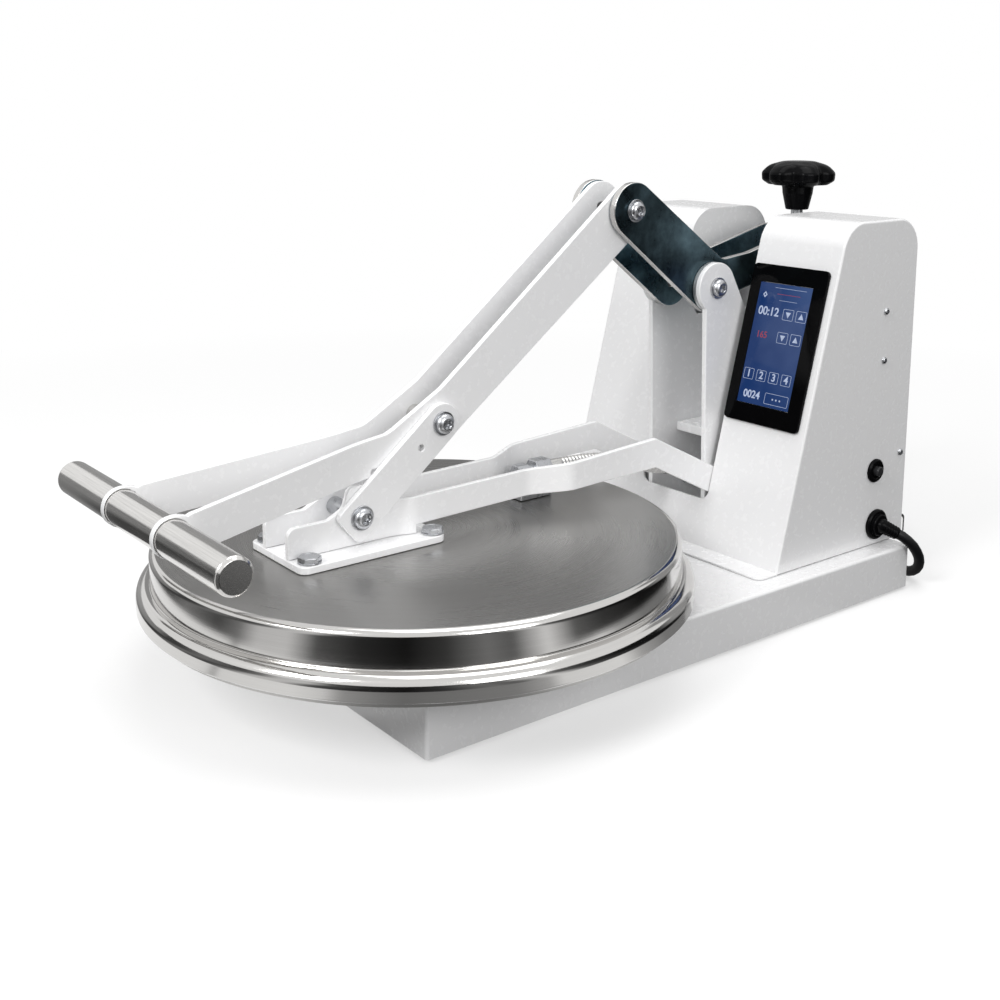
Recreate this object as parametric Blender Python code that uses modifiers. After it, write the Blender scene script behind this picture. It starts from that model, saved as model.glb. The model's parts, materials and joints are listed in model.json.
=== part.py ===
"""Manual dough press: a hand-levered upper platen on a rear hinge, closed by a toggle linkage.

Lengths are metres. X runs to the right, Y to the back (the tower side) and Z up. The outlines are laid
out from the front edge of the base; the last step moves the press so that its origin lies under the
middle of its footprint, on the surface it stands on.
"""

import math

import bmesh
import bpy
from mathutils import Matrix, Vector

GAP = 0.0003
OVERRUN = 0.02
LEFT = -1
RIGHT = 1
SIDES = (("left", LEFT), ("right", RIGHT))
HALF_SHARE = 0.5
EDGE_SHARE = 0.49

# Base and its feet
BASE_HALF_WIDTH = 0.1642
BASE_DEPTH = 0.5708
BASE_TOP = 0.0452
BASE_UNDERSIDE = 0.0025
BASE_SHEET = 0.002
BASE_EDGE_RADIUS = 0.004
BOTTOM_SHEET = 0.0015
FOOT_RADIUS = 0.014
FOOT_INSET = 0.03

# Platens and the shroud over the upper one
PLATEN_Y = 0.1060
PLATEN_RADIUS = 0.2286
PLATEN_EDGE = 0.0015
LOWER_PLATEN_THICK = 0.0105
PEDESTAL_RADIUS = 0.150
PEDESTAL_HEIGHT = 0.0145
DOUGH_GAP = 0.006
UPPER_PLATEN_THICK = 0.018
UPPER_PLATEN_RIM = 0.004
UPPER_PLATEN_CLEARANCE = 0.0008
SHROUD_TOP = 0.1132
SHROUD_SETBACK = 0.0061
SHROUD_RADIUS = PLATEN_RADIUS - SHROUD_SETBACK
SHROUD_EDGE_RADIUS = 0.006
SHROUD_SHEET = 0.0012
SHOULDER_TOP = 0.0855
SHOULDER_BOTTOM = 0.0795
SKIRT_REACH = 0.0057
SKIRT_LOW_REACH = 0.0044
SKIRT_RADIUS = PLATEN_RADIUS + SKIRT_REACH
SKIRT_LOW_RADIUS = PLATEN_RADIUS + SKIRT_LOW_REACH
SKIRT_BOTTOM = 0.0647
INSULATION_SETBACK = 0.0187
INSULATION_RADIUS = SHROUD_RADIUS - INSULATION_SETBACK
HEATER_SETBACK = 0.058
HEATER_RING_RADIUS = INSULATION_RADIUS - HEATER_SETBACK
HEATER_TUBE_RADIUS = 0.0055
HEATER_CHANNEL_WALL = 0.002

# Bracket plate on the shroud, with its bolts
BRACKET_HALF_WIDTH = 0.0432
BRACKET_FRONT = -0.0305
BRACKET_REAR = 0.1057
BRACKET_THICK = 0.006
BRACKET_CORNER = 0.008
PLATEN_BOLT_X = 0.033
PLATEN_BOLT_INSET_FRONT = 0.0125
PLATEN_BOLT_INSET_REAR = 0.008
HEX_HALF_ACROSS = 0.0082
HEX_HEIGHT = 0.0038
HEX_WASHER_RADIUS = 0.0095
HEX_WASHER_THICK = 0.0012

# Pivots, seen from the side as (y, z)
PIVOT_A = Vector((0.1135, 0.2091))
PIVOT_B = Vector((0.0335, 0.1437))
PIVOT_C = Vector((0.3238, 0.3731))
PIVOT_D = Vector((0.4235, 0.2956))
PIVOT_H = Vector((0.4640, 0.0866))
ADJUSTER = Vector((0.5800, 0.3295))
HANDLE_AXIS = Vector((-0.1348, 0.1673))

# Places of the plates across the press, from the middle plane
BAR_INNER = 0.0157
BAR_THICK = 0.0055
LINK_THICK = 0.0055
LEVER_THICK = 0.0070
LEVER_WASHER = 0.0010
UPRIGHT_THICK = 0.0055
PIVOT_BOSS_LENGTH = 0.0037
ARM_THICK = 0.0050
ARM_LUG_MIDDLE = 0.0185
ARM_MIDDLE = 0.0243

# Pins, spacer tubes and button-headed bolts
SHANK_RADIUS = 0.005
WASHER_RADIUS = 0.0102
WASHER_THICK = 0.0018
BUTTON_RADIUS = 0.0085
BUTTON_HEIGHT = 0.005
SOCKET_RADIUS = 0.0036
SOCKET_DEPTH = 0.0028
SPACER_WALL = 0.0025
SPACER_A_RADIUS = 0.0085

# Handle
HANDLE_RADIUS = 0.0143
HANDLE_WALL = 0.002
HANDLE_HALF_LENGTH = 0.1452
HANDLE_END_ROUND = 0.003
HANDLE_RING = 0.0010
HANDLE_RING_X = 0.0453
HANDLE_ARM_HALF = 0.0150
HANDLE_BEND_START = 0.036
HANDLE_BAR_HALF_A = 0.020
HANDLE_BAR_HALF_C = 0.024
HANDLE_FILLET = 0.040
HANDLE_ARM_DROP = 0.0205
HANDLE_ARM_SWELL = 0.0045
HANDLE_STOP_STEP = 0.0065
HANDLE_STOP_Y = 0.0465

# Short links between A and B
LINK_HALF = 0.0165
LINK_TAIL = 0.016
LINK_CORNER = 0.006
LINK_HOLE_RADIUS = 0.0028
LINK_HOLE_FROM_A = 0.028

# Bracket arms
LUG_FRONT = -0.030
LUG_STEP_TOP = 0.1448
LUG_STEP_REAR = 0.006
LUG_HOLLOW_BACK = 0.013
LUG_HOLLOW_RISE = 0.007
LUG_PEAK = 0.1685
LUG_PEAK_HALF = 0.0075
LUG_FOOT_REAR = 0.0865
ARM_TOP = 0.1505
ARM_BOTTOM = 0.1272
ARM_RISE = 0.003
ARM_SPREAD_START = 0.205
ARM_SPREAD_END = 0.240
ARM_BEND_RUN = 0.014
ARM_ELBOW_Y = 0.3425
ARM_ELBOW_TOP = 0.1627
ARM_ELBOW_BOTTOM = 0.1352
ARM_TAIL_HALF = 0.0124
ARM_ELBOW_RADIUS = 0.006
HINGE_SHAFT_RADIUS = 0.006
HINGE_HEAD_RADIUS = 0.010
HINGE_HEAD_THICK = 0.004

# Adjusting lever
LEVER_HALF = 0.0245
LEVER_BEND = Vector((0.0165, 0.0250))
LEVER_END_RADIUS = 0.0145
LEVER_BEND_RADIUS = 0.012
LEVER_TAIL_RUN = 0.037
LEVER_TAIL_RISE = 0.004
ADJUSTER_BLOCK_HALF = 0.011
ADJUSTER_SWING = 0.0026
ADJUSTER_TILT_ROOM = 0.0008

# Uprights and what joins them
UPRIGHT_HEAD_RADIUS = 0.024
UPRIGHT_NECK = 0.0145
UPRIGHT_LEAN = 0.0065
UPRIGHT_BACK_SLOPE = math.radians(61.3)
UPRIGHT_FOOT_THICK = 0.006
UPRIGHT_FOOT_REACH = 0.032
UPRIGHT_FOOT_REAR = 0.530
SEAT_BAR_TOP = 0.256
SEAT_BAR_DEEP = 0.016
SEAT_BAR_HALF = 0.009
SEAT_ARM_DEEP = 0.030
SEAT_ARM_CORNER = 0.005
SEAT_ARM_FILLET = 0.030
TIE_TOP = 0.1485
TIE_THICK = 0.009
TIE_FRONT = 0.4470
TIE_REAR = 0.5300
TIE_BOLT_X = 0.008
TIE_BOLT_BACK = 0.030

# Tower cover
TOWER_HALF_WIDTH = 0.1441
TOWER_FRONT = 0.3994
TOWER_SLOPE = 0.2563
TOWER_TOP = 0.3613
TOWER_REAR = 0.5859
TOWER_SHEET = 0.002
TOWER_TOP_RADIUS = 0.030
TOWER_SIDE_EDGE = 0.0015
SLOT_HALF_WIDTH = 0.0450
SLOT_BOTTOM = 0.090
SLOT_CORNER = 0.010
INNER_FLANGE_DEPTH = 0.038
TOWER_FOOT_FRONT = 0.376
TOWER_FOOT_CORNER = 0.008
REAR_PANEL_SHEET = 0.0015
REAR_SLOT_BOTTOM = 0.205
REAR_PANEL_DROP = 0.030

# Touch panel on the right-hand front
PANEL_X = 0.0914
PANEL_LOW = 0.1710
PANEL_HIGH = 0.3170
PANEL_HALF_WIDTH = 0.0446
PANEL_THICK = 0.003
PANEL_CORNER = 0.004
SCREEN_LOW = 0.1880
SCREEN_HIGH = 0.3005
SCREEN_HALF_WIDTH = 0.0313
SCREEN_X = 0.0901
SCREEN_RECESS = 0.0004
BOARD_STANDOFF = 0.018
BOARD_THICK = 0.0016
BOARD_MARGIN = 0.006
STANDOFF_RADIUS = 0.003

# Fittings in the right-hand side of the tower
BREAKER = Vector((0.5365, 0.1210))
BREAKER_FLANGE_RADIUS = 0.0115
BREAKER_FLANGE_THICK = 0.003
BREAKER_BARREL_RADIUS = 0.008
BREAKER_BARREL_LENGTH = 0.024
BREAKER_BUTTON_RADIUS = 0.0048
BREAKER_BUTTON_PROUD = 0.0045
BREAKER_BUTTON_TRAVEL = 0.0025
BREAKER_WELL = 0.012
GLAND = Vector((0.5416, 0.0665))
GLAND_FLANGE_RADIUS = 0.0148
GLAND_FLANGE_THICK = 0.004
GLAND_NUT_RADIUS = 0.0105
GLAND_NUT_LENGTH = 0.0036
GLAND_SNOUT_RADIUS = 0.0072
GLAND_SNOUT_TIP = 0.0060
GLAND_SNOUT_LENGTH = 0.017
GLAND_AIM_SHARES = Vector((0.610, 0.654, -0.447))
GLAND_BARREL_RADIUS = 0.009
GLAND_BARREL_LENGTH = 0.012
SIDE_SCREWS = (Vector((0.5410, 0.2750)), Vector((0.5415, 0.2280)), Vector((0.5750, 0.1330)))
SIDE_SCREW_RADIUS = 0.0034
SIDE_SCREW_HEIGHT = 0.002
SIDE_SCREW_SHANK = 0.0018
SIDE_SCREW_LENGTH = 0.008

# Conduit that feeds the upper platen
CONDUIT_X = -0.012
CONDUIT_FRONT = 0.220
CONDUIT_AXIS_HEIGHT = 0.0238
CONDUIT_NUT_RADIUS = 0.0085
CONDUIT_NUT_LENGTH = 0.013
CONDUIT_NECK_RADIUS = 0.0058
CONDUIT_BODY_RADIUS = 0.0115
CONDUIT_BODY_LENGTH = 0.018
CONDUIT_HOSE_RADIUS = 0.0070
CONDUIT_PAD_LENGTH = 0.040
CONDUIT_PAD_HALF = 0.009
CONDUIT_HOSE_END = Vector((0.4380, 0.1080))
CONDUIT_HOSE_RISE = 0.006

# Knob and adjusting screw
KNOB_RADIUS = 0.0375
KNOB_LOBES = 6
KNOB_LOBE_SHARE = 0.20
KNOB_CAP_BOTTOM = 0.3840
KNOB_TOP = 0.4090
KNOB_DOME = 0.007
KNOB_HUB_RADIUS = 0.016
KNOB_HUB_LOW_RADIUS = 0.0115
KNOB_HUB_BOTTOM = 0.3590
KNOB_BORE_DEPTH = 0.020
SCREW_RADIUS = 0.006
SCREW_COLLAR_RADIUS = 0.010
SCREW_COLLAR_THICK = 0.005
SCREW_TAIL = 0.009

# Mains cord, its coil and its plug
CORD_RADIUS = 0.005
CORD_ROUTE = (
    (0.1711, 0.5656, 0.0471), (0.1718, 0.5765, 0.0326), (0.1652, 0.5856, 0.0188), (0.1517, 0.5933, 0.0086),
    (0.1350, 0.5988, 0.0054), (0.1120, 0.6040, 0.0053), (0.0850, 0.6065, 0.0053), (0.0550, 0.6070, 0.0053),
    (0.0300, 0.6070, 0.0053), (0.0050, 0.6070, 0.0053),
)
CORD_LEAD = 0.005
CORD_STEP = 0.020
COIL_RADIUS = 0.057
COIL_PITCH = 0.0108
COIL_LAYER = 0.0106
COIL_TURNS = 4.25
COIL_POINTS_A_TURN = 24
COIL_LEAD = 0.010
COIL_TAIL = 0.0480
CORD_FLOOR = 0.0053
PLUG_RADIUS = 0.0152
PLUG_NECK_RADIUS = 0.0075
PLUG_NECK_LENGTH = 0.022
PLUG_BODY_LENGTH = 0.032
PLUG_ROUND = 0.004
PLUG_BLADE_HALF_WIDTH = 0.0032
PLUG_BLADE_HALF_THICK = 0.0008
PLUG_BLADE_LENGTH = 0.017
PLUG_BLADE_SPREAD = 0.0064
PLUG_PIN_RADIUS = 0.0024
PLUG_PIN_DROP = 0.0075

# Places that follow from the sizes above
BAR_OUTER = BAR_INNER + BAR_THICK
LINK_INNER = BAR_OUTER + GAP
LINK_OUTER = LINK_INNER + LINK_THICK
LEVER_INNER = BAR_OUTER + GAP + LEVER_WASHER
LEVER_OUTER = LEVER_INNER + LEVER_THICK
UPRIGHT_INNER = LEVER_OUTER + GAP + PIVOT_BOSS_LENGTH
UPRIGHT_OUTER = UPRIGHT_INNER + UPRIGHT_THICK
ARM_REAR_INNER = UPRIGHT_OUTER + GAP
ARM_REAR_MIDDLE = ARM_REAR_INNER + ARM_THICK * HALF_SHARE
LOWER_PLATEN_BOTTOM = BASE_TOP + GAP + PEDESTAL_HEIGHT
LOWER_PLATEN_TOP = LOWER_PLATEN_BOTTOM + LOWER_PLATEN_THICK
UPPER_PLATEN_BOTTOM = LOWER_PLATEN_TOP + DOUGH_GAP
UPPER_PLATEN_TOP = UPPER_PLATEN_BOTTOM + UPPER_PLATEN_THICK
BRACKET_BOTTOM = SHROUD_TOP + GAP
BRACKET_TOP = BRACKET_BOTTOM + BRACKET_THICK
LUG_BOTTOM = BRACKET_TOP + GAP
FRONT_OF_PRESS = HANDLE_AXIS.x - HANDLE_RADIUS - GAP - HANDLE_RING
REAR_OF_PRESS = ADJUSTER.x + KNOB_RADIUS
ORIGIN_Y = (FRONT_OF_PRESS + REAR_OF_PRESS) * HALF_SHARE

ROUND_STEPS = 24
PLATEN_STEPS = 56
FILLET_STEP = math.radians(28)
SIDEWAYS = (math.radians(90), 0, math.radians(90))
ALONG_X = (0, math.radians(90), 0)
ALONG_BACK = (math.radians(-90), 0, 0)


def clear_scene():
    """Start from nothing."""
    for obj in list(bpy.data.objects):
        bpy.data.objects.remove(obj, do_unlink=True)


def collection(name):
    """A collection in the scene, made once."""
    found = bpy.data.collections.get(name)
    if found is None:
        found = bpy.data.collections.new(name)
        bpy.context.scene.collection.children.link(found)
    return found


def material(name, colour, roughness, metallic=0.0):
    """A plain Principled finish."""
    mat = bpy.data.materials.get(name)
    if mat is None:
        mat = bpy.data.materials.new(name)
        mat.use_nodes = True
        shader = mat.node_tree.nodes["Principled BSDF"]
        shader.inputs["Base Color"].default_value = (*colour, 1.0)
        shader.inputs["Roughness"].default_value = roughness
        shader.inputs["Metallic"].default_value = metallic
    return mat


def white_paint(name):
    return material(name + "_paint", (0.86, 0.86, 0.87), 0.30)


def bright_steel(name):
    return material(name + "_steel", (0.66, 0.65, 0.64), 0.28, 1.0)


def zinc(name):
    return material(name + "_zinc", (0.55, 0.56, 0.58), 0.32, 1.0)


def black_plastic(name):
    return material(name + "_plastic", (0.015, 0.015, 0.017), 0.45)


def add(name, data, finish):
    """Put a piece's data in the press collection with its own finish."""
    obj = bpy.data.objects.new(name, data)
    collection("dough_press").objects.link(obj)
    data.materials.clear()
    data.materials.append(finish(name))
    return obj


def cutter(obj):
    """Move a piece to the cutters, out of the model."""
    for owner in list(obj.users_collection):
        owner.objects.unlink(obj)
    collection("cutters").objects.link(obj)
    obj.hide_render = True
    obj.display_type = "WIRE"
    return obj


def circle(centre, radius, count=ROUND_STEPS):
    """A round outline."""
    turn = 2 * math.pi / count
    return [centre + radius * Vector((math.cos(k * turn), math.sin(k * turn))) for k in range(count)]


def arc(centre, radius, start, end, count=8):
    """Points along an arc, from one angle to the other."""
    angles = [start + (end - start) * k / count for k in range(count + 1)]
    return [centre + radius * Vector((math.cos(a), math.sin(a))) for a in angles]


def rounded(corners):
    """An outline through (point, radius) corners, each turned at its radius or as much as its sides allow."""
    points = []
    for index, (corner, radius) in enumerate(corners):
        before = corners[index - 1][0] - corner
        after = corners[(index + 1) % len(corners)][0] - corner
        bend = before.angle(after)
        if radius <= 0 or bend > math.radians(179.5):
            points.append(corner.copy())
            continue
        room = EDGE_SHARE * min(before.length, after.length)
        cut = min(radius / math.tan(bend / 2), room)
        centre = corner + (before.normalized() + after.normalized()).normalized() * cut / math.cos(bend / 2)
        start = corner + before.normalized() * cut - centre
        sweep = math.atan2(start.x * (corner + after.normalized() * cut - centre).y
                           - start.y * (corner + after.normalized() * cut - centre).x,
                           start.dot(corner + after.normalized() * cut - centre))
        count = max(1, math.ceil(abs(sweep) / FILLET_STEP))
        for k in range(count + 1):
            points.append(centre + Matrix.Rotation(sweep * k / count, 2) @ start)
    return points


def box_outline(low, high, radius=0.0):
    """A rectangle, with round corners if asked."""
    corners = (low, Vector((high.x, low.y)), high, Vector((low.x, high.y)))
    return rounded([(corner, radius) for corner in corners])


def flat(name, loops, thickness, finish, place=(0, 0, 0), turn=SIDEWAYS):
    """A plate: closed outlines, the first one its edge and the others its holes."""
    curve = bpy.data.curves.new(name, "CURVE")
    curve.dimensions = "2D"
    curve.fill_mode = "BOTH"
    curve.extrude = thickness * HALF_SHARE
    for loop in loops:
        spline = curve.splines.new("POLY")
        spline.points.add(len(loop) - 1)
        for point, spot in zip(spline.points, loop):
            point.co = (spot[0], spot[1], 0, 1)
        spline.use_cyclic_u = True
    obj = add(name, curve, finish)
    obj.location = place
    obj.rotation_euler = turn
    return obj


def meshed(obj):
    """Turn a curve piece into a welded mesh piece of the same name and place."""
    bpy.context.view_layer.update()
    graph = bpy.context.evaluated_depsgraph_get()
    mesh = bpy.data.meshes.new_from_object(obj.evaluated_get(graph))
    weld(mesh)
    solid = bpy.data.objects.new(obj.name + "_mesh", mesh)
    for owner in obj.users_collection:
        owner.objects.link(solid)
    solid.matrix_world = obj.matrix_world
    solid.hide_render = obj.hide_render
    solid.display_type = obj.display_type
    name = obj.name
    bpy.data.objects.remove(obj, do_unlink=True)
    solid.name = name
    return solid


def weld(mesh):
    """Merge a mesh's doubled points."""
    shape = bmesh.new()
    shape.from_mesh(mesh)
    bmesh.ops.remove_doubles(shape, verts=shape.verts, dist=1e-6)
    bmesh.ops.recalc_face_normals(shape, faces=shape.faces)
    shape.to_mesh(mesh)
    shape.free()


def turned(name, profile, finish, place=(0, 0, 0), turn=(0, 0, 0), steps=ROUND_STEPS, closed=False):
    """A turned piece: (radius, height) points spun about local Z, the outer side running downwards."""
    mesh = bpy.data.meshes.new(name)
    count = len(profile)
    edges = [(k, k + 1) for k in range(count - 1)] + ([(count - 1, 0)] if closed else [])
    mesh.from_pydata([(radius, 0, height) for radius, height in profile], edges, [])
    obj = add(name, mesh, finish)
    obj.location = place
    obj.rotation_euler = turn
    spin = obj.modifiers.new("turn", "SCREW")
    spin.steps = steps
    spin.render_steps = steps
    spin.use_merge_vertices = True
    spin.merge_threshold = 1e-5
    spin.use_smooth_shade = True
    return obj


def tube(name, points, radius, finish, sides=2):
    """A round tube along a list of points, with filled ends."""
    curve = bpy.data.curves.new(name, "CURVE")
    curve.dimensions = "3D"
    curve.bevel_depth = radius
    curve.bevel_resolution = sides
    curve.use_fill_caps = True
    spline = curve.splines.new("POLY")
    spline.points.add(len(points) - 1)
    for point, spot in zip(spline.points, points):
        point.co = (*spot, 1)
    return add(name, curve, finish)


def block(name, low, high, finish):
    """A box between two corners."""
    mesh = bpy.data.meshes.new(name)
    shape = bmesh.new()
    bmesh.ops.create_cube(shape, size=1)
    middle = [(a + b) / 2 for a, b in zip(low, high)]
    extent = [b - a for a, b in zip(low, high)]
    for vert in shape.verts:
        vert.co = [m + e * c for m, e, c in zip(middle, extent, vert.co)]
    shape.to_mesh(mesh)
    shape.free()
    return add(name, mesh, finish)


def combine(obj, tool, operation):
    """Join or cut a piece with another, which goes to the cutters."""
    change = obj.modifiers.new(operation.lower(), "BOOLEAN")
    change.operation = operation
    change.solver = "EXACT"
    change.object = cutter(tool)


def axis_empty(name, place):
    """An empty on a joint's axis."""
    empty = bpy.data.objects.new(name, None)
    empty.location = place
    collection("dough_press").objects.link(empty)
    return empty


def carry(empty, pieces):
    """Let an empty carry pieces, which stay where they are."""
    for piece in pieces:
        piece.parent = empty
        piece.matrix_parent_inverse = Matrix.Translation(-empty.location)


def side_place(side, inner, thickness):
    """Where the middle of a plate lies across the press."""
    return (side * (inner + thickness * HALF_SHARE), 0, 0)


def outward(side):
    """Turn a piece made along Z so that it points away from the middle plane."""
    return (0, side * math.radians(90), 0)


def button_bolt(name, side, pivot, seat, shank_end):
    """A washer and a button head on a seat, with a shank that runs in to shank_end."""
    base = GAP
    washer_top = base + WASHER_THICK
    head_top = washer_top + BUTTON_HEIGHT
    profile = [
        (0, head_top - SOCKET_DEPTH), (SOCKET_RADIUS, head_top - SOCKET_DEPTH), (SOCKET_RADIUS, head_top),
        (BUTTON_RADIUS * 0.62, head_top), (BUTTON_RADIUS * 0.90, washer_top + BUTTON_HEIGHT * 0.62),
        (BUTTON_RADIUS, washer_top), (WASHER_RADIUS, washer_top), (WASHER_RADIUS, base),
        (SHANK_RADIUS, base), (SHANK_RADIUS, shank_end - seat), (0, shank_end - seat),
    ]
    return turned(name, profile, zinc, (side * seat, *pivot), outward(side), steps=20)


def pin_hole(pivot, radius=SHANK_RADIUS):
    """A pin's hole with its running clearance."""
    return circle(pivot, radius + GAP, 20)


def spacer(name, pivot, radius, finish, half=BAR_INNER - GAP, bore=SHANK_RADIUS + GAP):
    """A tube between a pair of plates."""
    profile = [(bore, half), (radius, half), (radius, -half), (bore, -half)]
    return turned(name, profile, finish, (0, *pivot), ALONG_X, steps=20, closed=True)


def build_base():
    """Pressed base cover with a bottom sheet, four feet and the fixed lower platen."""
    mesh = bpy.data.meshes.new("base_cover")
    shape = bmesh.new()
    bmesh.ops.create_cube(shape, size=1)
    for vert in shape.verts:
        vert.co.x *= BASE_HALF_WIDTH * 2
        vert.co.y = (vert.co.y + HALF_SHARE) * BASE_DEPTH
        vert.co.z = BASE_TOP if vert.co.z > 0 else BASE_UNDERSIDE
    floor = [face for face in shape.faces if face.normal.z < -HALF_SHARE]
    bmesh.ops.delete(shape, geom=floor, context="FACES")
    edges = [edge for edge in shape.edges if not edge.is_boundary]
    bmesh.ops.bevel(shape, geom=edges, offset=BASE_EDGE_RADIUS, segments=3, profile=0.5, affect="EDGES")
    shape.to_mesh(mesh)
    shape.free()
    cover = add("base_cover", mesh, white_paint)
    wall = cover.modifiers.new("sheet", "SOLIDIFY")
    wall.thickness = BASE_SHEET
    wall.offset = -1
    inside = BASE_SHEET + GAP
    low = Vector((inside - BASE_HALF_WIDTH, inside))
    high = Vector((BASE_HALF_WIDTH - inside, BASE_DEPTH - inside))
    flat("base_bottom", [box_outline(low, high, BASE_EDGE_RADIUS)], BOTTOM_SHEET, bright_steel,
         (0, 0, BASE_UNDERSIDE + BOTTOM_SHEET * HALF_SHARE), (0, 0, 0))
    foot_top = BASE_UNDERSIDE - GAP
    spots = (("front", FOOT_INSET), ("rear", BASE_DEPTH - FOOT_INSET))
    for row, y in spots:
        for word, side in SIDES:
            turned(f"foot_{row}_{word}", [(0, foot_top), (FOOT_RADIUS, foot_top), (FOOT_RADIUS, 0), (0, 0)],
                   black_plastic, (side * (BASE_HALF_WIDTH - FOOT_INSET), y, 0))
    rim = platen_rim(LOWER_PLATEN_BOTTOM, LOWER_PLATEN_TOP)
    seat = BASE_TOP + GAP
    profile = [(0, LOWER_PLATEN_TOP)] + rim + [(PEDESTAL_RADIUS, LOWER_PLATEN_BOTTOM), (PEDESTAL_RADIUS, seat),
                                               (0, seat)]
    turned("lower_platen", profile, bright_steel, (0, PLATEN_Y, 0), steps=PLATEN_STEPS)


def platen_rim(bottom, top):
    """The broken edges of a platen, from its top down to its underside."""
    return [(PLATEN_RADIUS - PLATEN_EDGE, top), (PLATEN_RADIUS, top - PLATEN_EDGE),
            (PLATEN_RADIUS, bottom + PLATEN_EDGE), (PLATEN_RADIUS - PLATEN_EDGE, bottom)]


def shroud_outer():
    """The shroud's outer profile, from the middle of its top down to its lower edge."""
    edge = Vector((SHROUD_RADIUS - SHROUD_EDGE_RADIUS, SHROUD_TOP - SHROUD_EDGE_RADIUS))
    top = arc(edge, SHROUD_EDGE_RADIUS, math.radians(90), 0, 4)
    step = (SKIRT_RADIUS - SHROUD_RADIUS) * HALF_SHARE
    drop = SHOULDER_TOP - SHOULDER_BOTTOM
    shoulder = [
        Vector((SHROUD_RADIUS, SHOULDER_TOP)), Vector((SHROUD_RADIUS + step * HALF_SHARE, SHOULDER_TOP - drop / 3)),
        Vector((SHROUD_RADIUS + step, SHOULDER_TOP - drop * HALF_SHARE)),
        Vector((SKIRT_RADIUS - step * HALF_SHARE, SHOULDER_TOP - drop * HALF_SHARE)),
        Vector((SKIRT_RADIUS, SHOULDER_BOTTOM)),
    ]
    foot = SKIRT_BOTTOM + (SHOULDER_BOTTOM - SKIRT_BOTTOM) / 8
    skirt = [Vector((SKIRT_RADIUS, foot)), Vector((SKIRT_LOW_RADIUS, SKIRT_BOTTOM))]
    return [Vector((0, SHROUD_TOP))] + top + shoulder + skirt


def inset(profile, distance):
    """The same profile moved inwards by the sheet's thickness."""
    moved = []
    for index, point in enumerate(profile):
        before = point - profile[max(index - 1, 0)]
        after = profile[min(index + 1, len(profile) - 1)] - point
        run = [step.normalized() for step in (before, after) if step.length > 0]
        normals = [Vector((step.y, -step.x)) for step in run]
        mean = (normals[0] + normals[-1]).normalized()
        moved.append(point + mean * distance / max(mean.dot(normals[0]), HALF_SHARE))
    moved[0].x = 0
    moved[-1].y = profile[-1].y
    return moved


def build_upper_platen():
    """Shroud, platen casting, insulation and the heating element in its channel."""
    outer = shroud_outer()
    inner = inset(outer, SHROUD_SHEET)
    turned("platen_shroud", [tuple(p) for p in outer + inner[::-1]], bright_steel, (0, PLATEN_Y, 0),
           steps=PLATEN_STEPS)
    neck = SHROUD_RADIUS - SHROUD_SHEET - UPPER_PLATEN_CLEARANCE
    rim_top = UPPER_PLATEN_BOTTOM + UPPER_PLATEN_RIM
    rim = platen_rim(UPPER_PLATEN_BOTTOM, rim_top)
    casting = [(0, UPPER_PLATEN_TOP), (neck, UPPER_PLATEN_TOP), (neck, rim_top)] + rim + [(0, UPPER_PLATEN_BOTTOM)]
    turned("upper_platen", casting, bright_steel, (0, PLATEN_Y, 0), steps=PLATEN_STEPS)
    bottom = UPPER_PLATEN_TOP + GAP
    top = SHROUD_TOP - SHROUD_SHEET - GAP
    reach = HEATER_TUBE_RADIUS + GAP
    roof = bottom + reach + reach
    profile = [(0, top), (INSULATION_RADIUS, top), (INSULATION_RADIUS, bottom),
               (HEATER_RING_RADIUS + reach, bottom), (HEATER_RING_RADIUS + reach, roof),
               (HEATER_RING_RADIUS - reach, roof), (HEATER_RING_RADIUS - reach, bottom), (0, bottom)]
    turned("insulation_pad", profile, lambda name: material(name + "_wool", (0.72, 0.68, 0.60), 0.95),
           (0, PLATEN_Y, 0), steps=PLATEN_STEPS)
    ring = circle(Vector((HEATER_RING_RADIUS, bottom + reach)), HEATER_TUBE_RADIUS, 6)[::-1]
    turned("heating_element", [tuple(p) for p in ring], zinc, (0, PLATEN_Y, 0), steps=PLATEN_STEPS, closed=True)


def hex_bolt(name, x, y, seat):
    """A hexagon head on its washer, with a short shank in the plate below."""
    washer = seat + GAP + HEX_WASHER_THICK
    head = turned(name, [(0, washer), (HEX_WASHER_RADIUS, washer), (HEX_WASHER_RADIUS, seat + GAP),
                         (0, seat + GAP)], zinc, (x, y, 0))
    return join_hexagon(head, washer)


def join_hexagon(piece, washer):
    """Add the hexagon to a turned washer as one body."""
    mesh = bpy.data.meshes.new(piece.name + "_hexagon")
    shape = bmesh.new()
    reach = HEX_HALF_ACROSS / math.cos(math.radians(30))
    bmesh.ops.create_cone(shape, cap_ends=True, segments=6, radius1=reach, radius2=reach, depth=1)
    sunk = HEX_WASHER_THICK * HALF_SHARE
    for vert in shape.verts:
        vert.co.z = washer + (HEX_HEIGHT if vert.co.z > 0 else -sunk)
    shape.to_mesh(mesh)
    shape.free()
    hexagon = add(piece.name + "_hexagon", mesh, zinc)
    hexagon.location = piece.location
    combine(piece, hexagon, "UNION")
    return piece


def bent_plate(obj, stations):
    """Shift a plate sideways along its length: stations are (y, x) places of its middle plane."""
    solid = meshed(obj)
    shape = bmesh.new()
    shape.from_mesh(solid.data)
    shape.transform(solid.matrix_world)
    solid.matrix_world = Matrix.Identity(4)
    for y, _ in stations[1:-1]:
        geometry = shape.verts[:] + shape.edges[:] + shape.faces[:]
        bmesh.ops.bisect_plane(shape, geom=geometry, plane_co=(0, y, 0), plane_no=(0, 1, 0), dist=1e-6)
    for vert in shape.verts:
        vert.co.x += sideways(vert.co.y, stations)
    shape.to_mesh(solid.data)
    shape.free()
    return solid


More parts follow.
